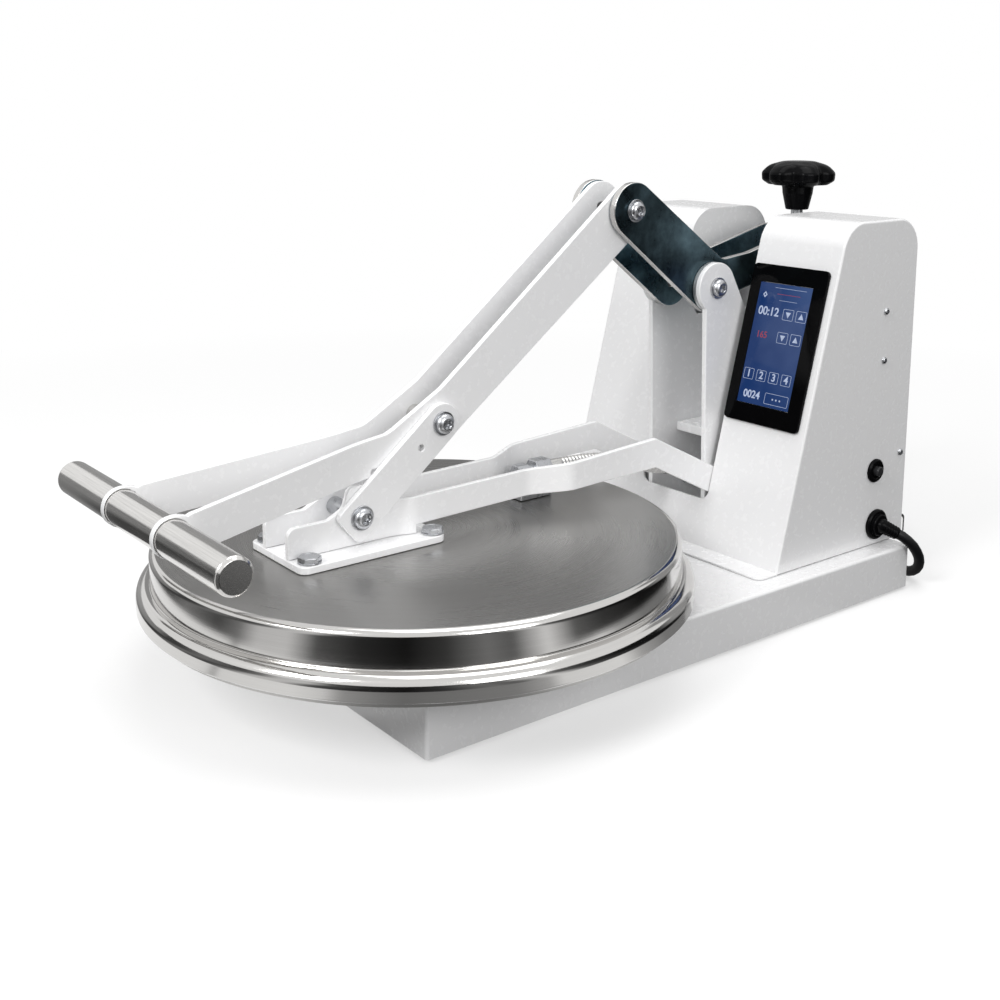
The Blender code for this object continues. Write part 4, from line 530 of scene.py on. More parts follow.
def drawn_steel(name, colour, stretch, shine=(0.16, 0.30), grain=0.08, fine=900.0):
    """Steel with straight grain; stretch is small along the grain."""
    mat, tree, shader, place = blank(name, Metallic=1.0)
    lines = noise(tree, scaled(tree, place, stretch), fine, 3.0, 0.7)
    drift = noise(tree, place, 14, 3.0)
    tree.links.new(toned(tree, ranged(tree, lines, 0, 1), dimmed(colour, 0.82), colour), shader.inputs["Base Color"])
    rough = maths(tree, "ADD", lines, drift)
    tree.links.new(ranged(tree, rough, shine[0], shine[1], 0.7, 1.3), shader.inputs["Roughness"])
    sink(tree, shader, lines, grain, 0.0002)
    return mat


def plated_steel(name, colour, shine=(0.22, 0.38)):
    """Zinc plate: small clouded crystals and dull patches."""
    mat, tree, shader, place = blank(name, Metallic=1.0)
    crystal = node(tree, "ShaderNodeTexVoronoi", {"Vector": place, "Scale": 700.0}).outputs["Distance"]
    cloud = noise(tree, place, 120, 3.0)
    tree.links.new(toned(tree, ranged(tree, cloud, 0, 1), dimmed(colour, 0.78), colour), shader.inputs["Base Color"])
    tree.links.new(ranged(tree, cloud, shine[0], shine[1]), shader.inputs["Roughness"])
    sink(tree, shader, crystal, 0.06, 0.0002)
    return mat


def blued_steel(name, colour):
    """Dark blued lever plate: cold grain with cloudy wear."""
    mat, tree, shader, place = blank(name, Metallic=1.0)
    grain = noise(tree, scaled(tree, place, (1, 0.25, 1)), 900, 4.0, 0.75)
    cloud = noise(tree, place, 34, 5.0, 0.65)
    worn = ranged(tree, cloud, 0, 1, 0.42, 0.72)
    tree.links.new(toned(tree, worn, dimmed(colour, 0.62), tuple(c * 1.5 for c in colour)),
                   shader.inputs["Base Color"])
    tree.links.new(ranged(tree, cloud, 0.24, 0.38), shader.inputs["Roughness"])
    sink(tree, shader, grain, 0.14, 0.0002)
    return mat


def moulded_plastic(name, colour, shine=(0.28, 0.42), grain=0.10, size=900.0, gloss=0.28):
    """Moulded plastic or rubber with a fine mould grain."""
    mat, tree, shader, place = blank(name, Specular_IOR_Level=gloss)
    texture = noise(tree, place, size, 3.0)
    cloud = noise(tree, place, 40, 3.0)
    tree.links.new(toned(tree, ranged(tree, cloud, 0, 1), dimmed(colour, 0.8), colour), shader.inputs["Base Color"])
    tree.links.new(ranged(tree, cloud, shine[0], shine[1]), shader.inputs["Roughness"])
    sink(tree, shader, texture, grain, 0.0002)
    return mat


def lit_screen(name, low, high):
    """Glass over a lit display that pales towards its top."""
    mat, tree, shader, place = blank(name, Base_Color=(0.002, 0.003, 0.006, 1), Coat_Weight=0.2, Coat_Roughness=0.03,
                                     Emission_Strength=0.82, Specular_IOR_Level=0.15)
    height = node(tree, "ShaderNodeSeparateXYZ", {0: place}).outputs
    rise = ranged(tree, height[2], 0, 1, 0.248, 0.286)
    side = ranged(tree, height[0], 0, 0.15, 0.06, 0.13)
    both = node(tree, "ShaderNodeMath", {0: rise, 1: side}, operation="MULTIPLY_ADD")
    both.inputs[1].default_value = 0.9
    tree.links.new(side, both.inputs[2])
    haze = noise(tree, place, 26, 2.0)
    lift = maths(tree, "ADD", both.outputs[0], ranged(tree, haze, -0.07, 0.07))
    tree.links.new(toned(tree, lift, low, high), shader.inputs["Emission Color"])
    tree.links.new(ranged(tree, haze, 0.10, 0.16), shader.inputs["Roughness"])
    return mat


def lit_mark(name, colour):
    """Lit lines and numerals on the display."""
    mat, tree, shader, place = blank(name, Base_Color=(0.02, 0.02, 0.02, 1), Roughness=0.3, Emission_Strength=0.75)
    glow = noise(tree, place, 300, 1.0)
    tree.links.new(toned(tree, ranged(tree, glow, 0, 1), dimmed(colour, 0.8), colour), shader.inputs["Emission Color"])
    return mat


def felted_wool(name, colour):
    """Mineral wool."""
    mat, tree, shader, place = blank(name, Roughness=0.95)
    fibre = noise(tree, scaled(tree, place, (1, 1, 4)), 500, 6.0, 0.8)
    tree.links.new(toned(tree, ranged(tree, fibre, 0, 1), dimmed(colour, 0.6), colour), shader.inputs["Base Color"])
    sink(tree, shader, fibre, 0.6, 0.001)
    return mat


def etched_board(name, colour):
    """Circuit board with etched tracks."""
    mat, tree, shader, place = blank(name, Roughness=0.35)
    cells = node(tree, "ShaderNodeTexVoronoi", {"Vector": place, "Scale": 260.0}, distance="MANHATTAN").outputs[0]
    tree.links.new(toned(tree, ranged(tree, cells, 0, 1, 0.25, 0.3), colour, dimmed(colour, 2.2)),
                   shader.inputs["Base Color"])
    sink(tree, shader, cells, 0.3, 0.0003)
    return mat


FINISHES = {}


def finish(kind):
    """A finish of the press, made once from the user's colours."""
    if kind not in FINISHES:
        tones = bpy.context.scene.dough_press_colours
        middle = PLATEN_Y - ORIGIN_Y
        makers = {
            "paint": lambda: powder_coat("white_powder_coat", tuple(tones.paint)),
            # The bars' coat: the same white powder coat painted a tenth lighter, as painted light.
            "bar_paint_painted_light": lambda: powder_coat("white_bar_coat", tuple(min(1, c * 1.1) for c in tones.paint)),
            "shroud": lambda: spun_steel("spun_stainless", tuple(tones.steel), middle),
            # The shroud's top face: the same spun steel painted darker, as painted shade.
            "shroud_top_painted_shade": lambda: spun_steel("brushed_shroud_top", dimmed(tones.steel, 0.54), middle, 1500.0,
                                             (0.24, 0.31)),
            "platen": lambda: spun_steel("turned_platen", dimmed(tones.steel, 0.9), middle, 700.0, (0.30, 0.42), 0.2),
            # The grip's copy of the steel painted a fifth lighter, as painted light on its reflection.
            "grip": lambda: drawn_steel("brushed_grip", dimmed(tones.steel, 1.2), (0.02, 1, 1), (0.12, 0.22)),
            # The grip's end faces: the same steel painted darker, as painted shade.
            "grip_end": lambda: drawn_steel("faced_grip_end", dimmed(tones.steel, 0.45), (1, 1, 1), (0.22, 0.34), 0.05),
            "boss": lambda: plated_steel("satin_boss", (0.80, 0.81, 0.82), (0.42, 0.52)),
            "bright": lambda: drawn_steel("bright_turned_steel", dimmed(tones.steel, 1.08), (1, 0.05, 0.05)),
            # Lever plates' inner faces: the blued steel painted 2.4 times lighter, as a painted reflection.
            "inner": lambda: blued_steel("blued_inner_face", dimmed(tones.lever, 2.4)),
            # Lever plates' edges: bright steel standing for the light line along them, a painted highlight.
            "edge": lambda: drawn_steel("ground_edge_steel", dimmed(tones.steel, 1.1), (1, 0.1, 0.1), (0.2, 0.3)),
            "zinc": lambda: plated_steel("zinc_plate", tuple(tones.zinc)),
            "blued": lambda: blued_steel("blued_steel", tuple(tones.lever)),
            "black": lambda: moulded_plastic("black_moulding", tuple(tones.plastic), (0.16, 0.24), 0.04, gloss=0.06),
            "bezel": lambda: moulded_plastic("black_bezel", dimmed(tones.plastic, 0.5), (0.05, 0.09), 0.01, gloss=0.08),
            "rubber": lambda: moulded_plastic("cord_rubber", dimmed(tones.plastic, 2.2), (0.34, 0.46), 0.12, 1400.0),
            "foot": lambda: moulded_plastic("foot_rubber", dimmed(tones.plastic, 4), (0.6, 0.8), 0.3),
            "button": lambda: moulded_plastic("grey_button", (0.03, 0.03, 0.032), (0.2, 0.3), 0.04),
            "screen": lambda: lit_screen("display_glass", (0.008, 0.037, 0.155), (0.180, 0.265, 0.500)),
            "mark": lambda: lit_mark("display_mark", (0.60, 0.70, 0.95)),
            "red_mark": lambda: lit_mark("display_red_mark", (0.42, 0.03, 0.08)),
            "wool": lambda: felted_wool("mineral_wool", (0.66, 0.60, 0.48)),
            "board": lambda: etched_board("etched_board", (0.02, 0.13, 0.05)),
        }
        FINISHES[kind] = makers[kind]()
    return FINISHES[kind]


# Geometry nodes trees

def group_tree(name, inputs):
    """An empty geometry nodes tree with named inputs: (name, socket type, default) each."""
    tree = bpy.data.node_groups.new(name, "GeometryNodeTree")
    tree.interface.new_socket("Geometry", in_out="INPUT", socket_type="NodeSocketGeometry")
    for label, kind, default in inputs:
        socket = tree.interface.new_socket(label, in_out="INPUT", socket_type=kind)
        if default is not None:
            socket.default_value = default
    tree.interface.new_socket("Geometry", in_out="OUTPUT", socket_type="NodeSocketGeometry")
    return tree, tree.nodes.new("NodeGroupInput").outputs


def set_input(modifier, label, value):
    """Set a tree's input by its socket's identifier."""
    for item in modifier.node_group.interface.items_tree:
        if item.item_type == "SOCKET" and item.in_out == "INPUT" and item.name == label:
            modifier[item.identifier] = value
            return
    raise ValueError(f"{modifier.node_group.name} has no input {label}")


def row_tree():
    """Copies of a piece on points, each aimed along the point's own direction."""
    found = bpy.data.node_groups.get("Fastener rows")
    if found:
        return found
    tree, given = group_tree("Fastener rows", [
        ("Piece", "NodeSocketObject", None), ("Size", "NodeSocketFloat", 1.0), ("Turn", "NodeSocketFloat", 0.5),
        ("Seed", "NodeSocketInt", 3), ("Material", "NodeSocketMaterial", None)])
    source = node(tree, "GeometryNodeObjectInfo", {"Object": given["Piece"]}, transform_space="ORIGINAL")
    aim = node(tree, "GeometryNodeInputNamedAttribute", {"Name": "aim"}, data_type="FLOAT_VECTOR").outputs[0]
    facing = node(tree, "FunctionNodeAlignRotationToVector", {"Vector": aim}, axis="Z").outputs[0]
    low = maths(tree, "MULTIPLY", given["Turn"], -1.0)
    angle = node(tree, "FunctionNodeRandomValue", {"Seed": given["Seed"]}, data_type="FLOAT")
    tree.links.new(low, angle.inputs[2])
    tree.links.new(given["Turn"], angle.inputs[3])
    spin = node(tree, "FunctionNodeAxisAngleToRotation", {"Axis": (0, 0, 1), "Angle": angle.outputs[1]}).outputs[0]
    turned = node(tree, "FunctionNodeRotateRotation", {0: facing, 1: spin}, rotation_space="LOCAL").outputs[0]
    copies = node(tree, "GeometryNodeInstanceOnPoints", {
        "Points": given["Geometry"], "Instance": source.outputs["Geometry"], "Rotation": turned,
        "Scale": given["Size"]})
    real = node(tree, "GeometryNodeRealizeInstances", {0: copies.outputs[0]})
    dressed = node(tree, "GeometryNodeSetMaterial", {"Geometry": real.outputs[0], "Material": given["Material"]})
    node(tree, "NodeGroupOutput", {0: dressed.outputs[0]})
    return tree


def lobe_tree():
    """Lobes pressed into a turned rim, fading out towards the hub."""
    tree, given = group_tree("Lobed rim", [
        ("Lobes", "NodeSocketInt", 6), ("Depth", "NodeSocketFloat", 0.2), ("Hub Radius", "NodeSocketFloat", 0.016),
        ("Rim Radius", "NodeSocketFloat", 0.0375), ("Material", "NodeSocketMaterial", None)])
    here = node(tree, "GeometryNodeInputPosition").outputs[0]
    parts = node(tree, "ShaderNodeSeparateXYZ", {0: here}).outputs
    flat_place = node(tree, "ShaderNodeCombineXYZ", {0: parts[0], 1: parts[1]}).outputs[0]
    radius = node(tree, "ShaderNodeVectorMath", {0: flat_place}, operation="LENGTH").outputs[1]
    angle = maths(tree, "ARCTAN2", parts[1], parts[0])
    many = maths(tree, "MULTIPLY", angle, given["Lobes"])
    wave = maths(tree, "COSINE", many)
    swing = node(tree, "ShaderNodeMapRange", {"Value": wave, "From Min": -1.0, "From Max": 1.0}).outputs[0]
    sharp = maths(tree, "POWER", swing, 2.0)
    fade = node(tree, "ShaderNodeMapRange", {"Value": radius, "From Min": given["Hub Radius"],
                                             "From Max": given["Rim Radius"]}).outputs[0]
    deep = maths(tree, "MULTIPLY", sharp, fade)
    cut = maths(tree, "MULTIPLY", deep, given["Depth"])
    keep = maths(tree, "SUBTRACT", 1.0, cut)
    x = maths(tree, "MULTIPLY", parts[0], keep)
    y = maths(tree, "MULTIPLY", parts[1], keep)
    place = node(tree, "ShaderNodeCombineXYZ", {0: x, 1: y, 2: parts[2]}).outputs[0]
    pressed = node(tree, "GeometryNodeSetPosition", {"Geometry": given["Geometry"], "Position": place})
    real = node(tree, "GeometryNodeRealizeInstances", {0: pressed.outputs[0]})
    dressed = node(tree, "GeometryNodeSetMaterial", {"Geometry": real.outputs[0], "Material": given["Material"]})
    node(tree, "NodeGroupOutput", {0: dressed.outputs[0]})
    return tree


def row_mesh(source, spots, kind, turn=0.5, size=1.0):
    """Copies of a mesh at (place, aim) spots, as one plain mesh."""
    points = bpy.data.meshes.new("spots")
    points.from_pydata([tuple(place) for place, _ in spots], [], [])
    aims = points.attributes.new("aim", "FLOAT_VECTOR", "POINT")
    for item, (_, aim) in zip(aims.data, spots):
        item.vector = aim
    pattern = bpy.data.objects.new("pattern", source)
    bpy.context.scene.collection.objects.link(pattern)
    holder = bpy.data.objects.new("row", points)
    rows = holder.modifiers.new("rows", "NODES")
    rows.node_group = row_tree()
    set_input(rows, "Piece", pattern)
    set_input(rows, "Size", size)
    set_input(rows, "Turn", turn)
    set_input(rows, "Seed", 3)
    set_input(rows, "Material", finish(kind))
    return evaluated(holder, [pattern])


# Fastener patterns, each standing on its seat along Z

def button_head_mesh():
    """Washer and button head with a six-lobed recess."""
    rings = [(round_at(0), 0), (round_at(0.0099), 0), (round_at(0.0102), 0.0003), (round_at(0.0102), 0.0015),
             (round_at(0.0099), 0.0018), (round_at(0.0088), 0.0018), (round_at(0.0086), 0.0017),
             (round_at(0.0085), 0.0020), (round_at(0.0085), 0.0031), (round_at(0.0082), 0.0043),
             (round_at(0.0074), 0.0054), (round_at(0.0062), 0.0062), (round_at(0.0052), 0.0066),
             (round_at(0.0046), 0.0068), (lobed_at(0.0040, 0.05), 0.0067), (lobed_at(0.0036, 0.13), 0.0063),
             (lobed_at(0.0034, 0.15), 0.0040), (round_at(0), 0.0036)]
    return ring_mesh(rings, 60)


def hexagon_head_mesh():
    """Hexagon head with a chamfered crown, on a washer."""
    rings = [(round_at(0), 0), (round_at(0.0092), 0), (round_at(0.0095), 0.0003), (round_at(0.0095), 0.0010),
             (round_at(0.0093), 0.0012), (hexagon_at(0.0080), 0.0012), (hexagon_at(0.0082), 0.0015),
             (hexagon_at(0.0082), 0.0043), (hexagon_at(0.0080), 0.0047), (round_at(0.0078), 0.0050),
             (round_at(0.0060), 0.0050), (round_at(0.0057), 0.0048), (round_at(0), 0.0048)]
    return ring_mesh(rings, 60)


def small_head_mesh():
    """Small domed screw with a six-sided socket."""
    rings = [(round_at(0), 0), (round_at(0.0033), 0), (round_at(0.0034), 0.0003), (round_at(0.0031), 0.0011),
             (round_at(0.0025), 0.0017), (round_at(0.0020), 0.0019), (hexagon_at(0.0014), 0.0018),
             (hexagon_at(0.0013), 0.0004), (round_at(0), 0.0003)]
    return ring_mesh(rings, 36)


# Cord

def smooth_path(route, step):
    """Evenly spaced points on a smooth curve through a route."""
    stops = [Vector(p) for p in route]
    padded = [stops[0] * 2 - stops[1]] + stops + [stops[-1] * 2 - stops[-2]]
    fine = []
    for a, b, c, d in zip(padded, padded[1:], padded[2:], padded[3:]):
        for k in range(16):
            t = k / 16
            fine.append(((b * 2) + (c - a) * t + (a * 2 - b * 5 + c * 4 - d) * t * t
                         + (b * 3 - a - c * 3 + d) * t ** 3) / 2)
    fine.append(stops[-1])
    reach = [0.0]
    for near, far in zip(fine, fine[1:]):
        reach.append(reach[-1] + (far - near).length)
    count = max(2, round(reach[-1] / step))
    points = []
    index = 0
    for k in range(count + 1):
        want = reach[-1] * k / count
        while index < len(fine) - 2 and reach[index + 1] < want:
            index += 1
        span = reach[index + 1] - reach[index]
        points.append(fine[index].lerp(fine[index + 1], min(1.0, (want - reach[index]) / span)))
    return points


def gland_reach(distance):
    """A point on the axis of the gland's snout."""
    return Vector((TOWER_HALF + GAP + 0.004 + 0.0036, *GLAND)) + GLAND_AIM * distance


def coil_middle():
    """The middle of the coil and its radius swing."""
    swing = COIL_PITCH * COIL_TURNS / 2
    end = Vector(CORD_ROUTE[-1])
    return Vector((end.x - 0.010 - GAP, end.y + COIL_RADIUS + swing / 2, 0)), swing


def coil_points():
    """The coil's middle line: spiral in on the floor, climb, and spiral out on top."""
    half = COIL_TURNS / 2
    centre, swing = coil_middle()
    count = round(COIL_TURNS * COIL_POINTS_A_TURN)
    points = []
    for k in range(count + 1):
        turns = COIL_TURNS * k / count
        radius = COIL_RADIUS - swing / 2 + COIL_PITCH * abs(turns - half)
        climb = min(1.0, max(0.0, (turns - half + 0.25) / 0.5))
        angle = -math.pi / 2 - 2 * math.pi * turns
        points.append(centre + Vector((radius * math.cos(angle), radius * math.sin(angle),
                                       0.0053 + COIL_LAYER * climb * climb * (3 - 2 * climb))))
    return points + [points[-1] + Vector((0, 0.0480, 0))]


def build_cord():
    """Mains cord from the gland down to its coil, the coil's tie and the plug."""
    start = gland_reach(0.017 + GAP)
    path = [start] + smooth_path((gland_reach(0.022),) + CORD_ROUTE, 0.008) + coil_points()
    path = [point - Vector((0, ORIGIN_Y, 0)) for point in path]
    cord = piece("mains_cord", tube_mesh(path, lambda share: CORD_RADIUS, 24), finish("rubber"), "frame",
                 ("cord", "cord_coil"))
    centre, swing = coil_middle()
    low, high = COIL_RADIUS - swing / 2 - 0.0058, COIL_RADIUS + swing / 2 + 0.0058
    band = box_outline((low, 0.00005), (high, 0.0218), 0.004)
    hole = box_outline((low + 0.0004, 0.00025), (high - 0.0004, 0.0214), 0.0036)
    around = Matrix.Rotation(math.radians(25), 4, "Z") @ Euler((math.pi / 2, 0, 0)).to_matrix().to_4x4()
    tie_mesh = moved(plate_mesh([band, hole], 0.007, 0.00005, 0), shift(*centre) @ around)
    tie = piece("coil_tie", tie_mesh, finish("black"), "frame")
    plug = build_plug(path[-1])


def build_plug(end):
    """Moulded plug with finger ribs, its two blades and its ground pin."""
    profile = [(0.0, 0.0003), (0.0053, 0.0003)]
    for k in range(5):
        z = 0.0025 + k * 0.0038
        profile += [(0.0056 + k * 0.00045, z), (0.0062 + k * 0.00045, z + 0.0006), (0.0062 + k * 0.00045, z + 0.0016),
                    (0.0056 + k * 0.00045, z + 0.0022)]
    profile += [(0.0085, 0.0223), (0.0112, 0.0226), (0.0134, 0.0236), (0.0148, 0.0256), (0.0152, 0.0280),
                (0.0148, 0.0340), (0.0146, 0.0400), (0.0149, 0.0460), (0.0152, 0.0503), (0.0148, 0.0526),
                (0.0136, 0.0541), (0.0120, 0.0543), (0.0, 0.0543)]
    body = moved(turned_mesh(profile, 64), Matrix.Translation(end) @ ALONG_BACK)
    plug = piece("plug_body", body, finish("black"), "frame", ("plug",), 30)
    blades = []
    for side in (-1, 1):
        x = end.x + side * 0.0064
        blades.append(block_mesh((x - 0.0008, end.y + 0.0540, end.z),
                                 (x + 0.0008, end.y + 0.0713, end.z + 0.0064), 0.0003))
    pin = [(0, 0), (0.0024, 0), (0.0024, 0.0158), (0.0018, 0.0170), (0, 0.0173)]
    blades.append(moved(turned_mesh(pin, 24), Matrix.Translation(end + Vector((0, 0.0540, -0.0075))) @ ALONG_BACK))
    metal = piece("plug_blades", joined(blades), finish("zinc"), "frame")
    metal.parent = plug
    metal["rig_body"] = "frame"
    return plug


# Base and platens

def build_base():
    """Pressed base cover with soft edges, and the sheet and feet under it."""
    shape = bmesh.new()
    bmesh.ops.create_cube(shape, size=1)
    for vert in shape.verts:
        vert.co.x *= BASE_HALF * 2
        vert.co.y = (vert.co.y + 0.5) * BASE_DEPTH - ORIGIN_Y
        vert.co.z = BASE_TOP if vert.co.z > 0 else BASE_UNDER
    floor = [face for face in shape.faces if face.normal.z < -0.5]
    bmesh.ops.delete(shape, geom=floor, context="FACES")
    edges = [edge for edge in shape.edges if not edge.is_boundary]
    bmesh.ops.bevel(shape, geom=edges, offset=0.0032, segments=5, profile=0.5, affect="EDGES")
    mesh = bpy.data.meshes.new("cover")
    shape.to_mesh(mesh)
    shape.free()
    cover = bpy.data.objects.new("cover", mesh)
    wall = cover.modifiers.new("sheet", "SOLIDIFY")
    wall.thickness = 0.002
    wall.offset = -1
    piece("pressed_base", evaluated(cover), finish("paint"), "frame", ("base_cover",))
    platen = soft_line([(0, 0.0705, 0), (PLATEN_RADIUS, 0.0705, 0.0012), (PLATEN_RADIUS, 0.0600, 0.0012),
                        (0.150, 0.0600, 0.0008), (0.150, 0.0455, 0.0004), (0, 0.0455, 0)])
    piece("fixed_platen", moved(turned_mesh(platen, 192), shift(0, PLATEN_Y, 0)), finish("platen"), "frame",
          ("lower_platen",), 50)


def inset(profile, distance):
    """The same profile moved inwards by the sheet's thickness."""
    kept = [profile[0]]
    for point in profile[1:]:
        if (point - kept[-1]).length > 1e-6:
            kept.append(point)
    result = []
    for index, point in enumerate(kept):
        before = point - kept[max(index - 1, 0)]
        after = kept[min(index + 1, len(kept) - 1)] - point
        run = [step.normalized() for step in (before, after) if step.length > 0]
        normals = [Vector((step.y, -step.x)) for step in run]
        mean = (normals[0] + normals[-1]).normalized()
        result.append(point + mean * distance / max(mean.dot(normals[0]), 0.5))
    result[0].x = 0
    result[-1].y = kept[-1].y
    return result


def build_platens():
    """Spun shroud with its rolled edge, shoulder and skirt, and the upper platen inside it."""
    bead = Vector((SKIRT_RADIUS - 0.0100, 0.0746))
    outer = soft_line([(0, SHROUD_TOP, 0), (SHROUD_RADIUS, SHROUD_TOP, 0.006), (SHROUD_RADIUS, 0.0846, 0.0012),
                       (bead.x, bead.y + 0.0100, 0)])
    outer += arc(bead, 0.0100, math.pi / 2, 0, 14)[1:]
    outer += soft_line([(SKIRT_RADIUS, 0.0740, 0), (SKIRT_RADIUS, 0.0662, 0.0012), (0.2328, 0.0647, 0)])
    inner = inset(outer, 0.0012)
    shroud = turned_mesh([tuple(p) for p in outer + inner[::-1]], 256)
    shroud = piece("spun_shroud", moved(shroud, shift(0, PLATEN_Y, 0)), [finish("shroud"), finish("shroud_top_painted_shade")],
                   "platen", ("platen_shroud",), 50)
    # The top faces take the darker copy of the steel: painted shade.
    for face in shroud.data.polygons:
        face.material_index = 1 if face.normal.z > 0.99 and face.center.z > 0.10 else 0
    neck = SHROUD_RADIUS - 0.0020
    disc = soft_line([(0, 0.0945, 0), (neck, 0.0945, 0.0008), (neck, 0.0805, 0.0005), (PLATEN_RADIUS, 0.0805, 0.0012),
                      (PLATEN_RADIUS, 0.0765, 0.0012), (0, 0.0765, 0)])
    piece("moving_platen", moved(turned_mesh(disc, 192), shift(0, PLATEN_Y, 0)), finish("platen"), "platen",
          ("upper_platen",), 50)


# Linkage

def lug_clear_y():
    """Where a link's lower edge has risen past the bracket arm's top edge."""
    along = (PIVOT_A - PIVOT_B).normalized()
    below = Vector((along.y, -along.x)) * 0.0165
    rise = 0.1505 + GAP + GAP - PIVOT_B.y - below.y
    return PIVOT_B.x + below.x + rise * along.x / along.y + GAP


def arm_outline():
    """A bracket arm: lug on the shroud plate, long arm, elbow and tail to the rear hinge."""
    elbow_top = Vector((0.3425, 0.1627))
    along = (PIVOT_H - Vector((0.3425, (0.1627 + 0.1352) / 2))).normalized()
    across = Vector((-along.y, along.x)) * 0.0124
    tail = PIVOT_H + along * 0.0124
    lug_bottom = SHROUD_TOP + GAP + 0.006 + GAP
    return rounded([
        (Vector((-0.030, lug_bottom)), 0), (Vector((-0.030, 0.1448)), 0.008), (Vector((0.006, 0.1448)), 0.008),
        (Vector((PIVOT_B.x - 0.013, 0.1518)), 0.008),
        (Vector((PIVOT_B.x - 0.0075, 0.1685)), 0.008), (Vector((PIVOT_B.x + 0.0075, 0.1685)), 0.008),
        (Vector((PIVOT_B.x + 0.0225, 0.1505)), 0.008), (Vector((0.205, 0.1535)), 0), (Vector((0.240, 0.1565)), 0),
        (elbow_top, 0.006), (tail + across, 0.0124), (tail - across, 0.0124), (Vector((0.3425, 0.1352)), 0.006),
        (Vector((0.3425 - 0.07, 0.1332)), 0.035), (Vector((0.205, 0.1302)), 0.035), (Vector((0.0865, 0.1272)), 0),
        (Vector((0.0865, lug_bottom)), 0),
    ])


def build_bracket():
    """Bracket plate, its two long arms, hexagon bolts and the spacer at pivot B."""
    bottom = SHROUD_TOP + GAP
    outline = box_outline((-0.0432, -0.0305), (0.0432, 0.1057), 0.008)
    plate = moved(plate_mesh([outline], 0.006, 0.0009, 2), shift(0, 0, bottom + 0.003))
    piece("shroud_bracket", plate, finish("bar_paint_painted_light"), "platen", ("bracket_plate",))
    first = lug_clear_y()
    stations = [(-0.030, 0.0185), (first, 0.0185), (first + 0.014, 0.0243), (0.205, 0.0243),
                (0.240, ARM_REAR_MIDDLE), (PIVOT_H.x, ARM_REAR_MIDDLE)]
    for word, side in SIDES:
        loops = [arm_outline(), circle(PIVOT_B, 0.0053), circle(PIVOT_H, 0.0063)]
        arm = moved(plate_mesh(loops, ARM_THICK, 0.0008, 2), shift() @ SIDEWAYS)
        piece(f"long_arm_{word}", bent(arm, [(y, side * x) for y, x in stations]), finish("bar_paint_painted_light"), "platen",
              (f"bracket_arm_{word}",))
    half = 0.0185 - ARM_THICK / 2 - GAP
    tube = soft_line([(0.0053, half, 0), (0.0075, half, 0.0004), (0.0075, -half, 0.0004), (0.0053, -half, 0)])
    piece("pivot_b_spacer", moved(turned_mesh(tube, 40, True), shift(0, *PIVOT_B) @ ALONG_X), finish("zinc"), "platen",
          ("spacer_b",), 60)
    seat = bottom + 0.006 + GAP
    spots = [((side * 0.033, y - ORIGIN_Y, seat), (0, 0, 1)) for y in (-0.018, 0.0977) for _, side in SIDES]
    nodes = [f"bracket_bolt_{row}_{word}" for row in ("front", "rear") for word, _ in SIDES]
    piece("bracket_bolts", row_mesh(hexagon_head_mesh(), spots, "zinc", 0.4), finish("zinc"), "platen", nodes,
          30)


def build_links():
    """Two short links with a spare hole, and the bolts at both of their ends."""
    along = (PIVOT_A - PIVOT_B).normalized()
    across = Vector((-along.y, along.x)) * 0.0165
    tip = PIVOT_A + along * 0.0165
    tail = PIVOT_B - along * 0.016
    outline = rounded([(tail - across, 0.006), (tail + across, 0.006), (tip + across, 0.0165), (tip - across, 0.0165)])
    spare = PIVOT_A - along * 0.028
    spots = []
    for word, side in SIDES:
        loops = [outline, circle(PIVOT_A, 0.0053), circle(PIVOT_B, 0.0053), circle(spare, 0.0028, 24)]
        link = moved(plate_mesh(loops, LINK_OUTER - LINK_INNER, 0.0008, 2),
                     shift(side * (LINK_INNER + LINK_OUTER) / 2) @ SIDEWAYS)
        piece(f"short_link_{word}", link, finish("bar_paint_painted_light"), "links", (f"link_{word}",))
        spots += [((side * (LINK_OUTER + GAP), p.x - ORIGIN_Y, p.y), (side, 0, 0)) for p in (PIVOT_A, PIVOT_B)]
    nodes = [f"bolt_{row}_{word}" for row in "ab" for word, _ in SIDES]
    piece("link_bolts", row_mesh(button_head_mesh(), spots, "zinc"), finish("zinc"), "links", nodes, 32)


def handle_outline():
    """Handle arm and long bar as one plate: ring at the grip, bend at A, round end at C."""
    along = (PIVOT_C - PIVOT_A).normalized()
    across = Vector((-along.y, along.x))
    tip = PIVOT_C + along * 0.024
    ring = GRIP_RADIUS + GAP + 0.0010
    front_top = GRIP + Vector((ring, 0.0153))
    front_low = GRIP + Vector((ring, -0.0147))
    low_end = Vector((0.0465, front_low.y + 0.0205))
    top_end = Vector((0.066, low_end.y + 0.0345))
    heel = PIVOT_A - along * 0.020
    corners = [
        (top_end, 0.040), (PIVOT_A + (across + along) * 0.020, 0.040), (tip + across * 0.024, 0.024),
        (tip - across * 0.024, 0.024), (PIVOT_A + (along - across) * 0.020, 0.040), (heel - across * 0.020, 0.020),
        (low_end + Vector((0.0065, 0.0065)), 0.0018), (low_end + Vector((0, 0.0065)), 0.0018), (low_end, 0.0018),
        (front_low, 0),
    ]
    start = math.atan2(front_low.y - GRIP.y, front_low.x - GRIP.x)
    stop = math.atan2(front_top.y - GRIP.y, front_top.x - GRIP.x) - 2 * math.pi
    reach = (front_top - GRIP).length
    loop = [GRIP + (ring + (reach - ring) * abs(math.cos(a / 2)) ** 8) * Vector((math.cos(a), math.sin(a)))
            for a in [start + (stop - start) * k / 60 for k in range(1, 60)]]
    return rounded(corners) + loop + [front_top]


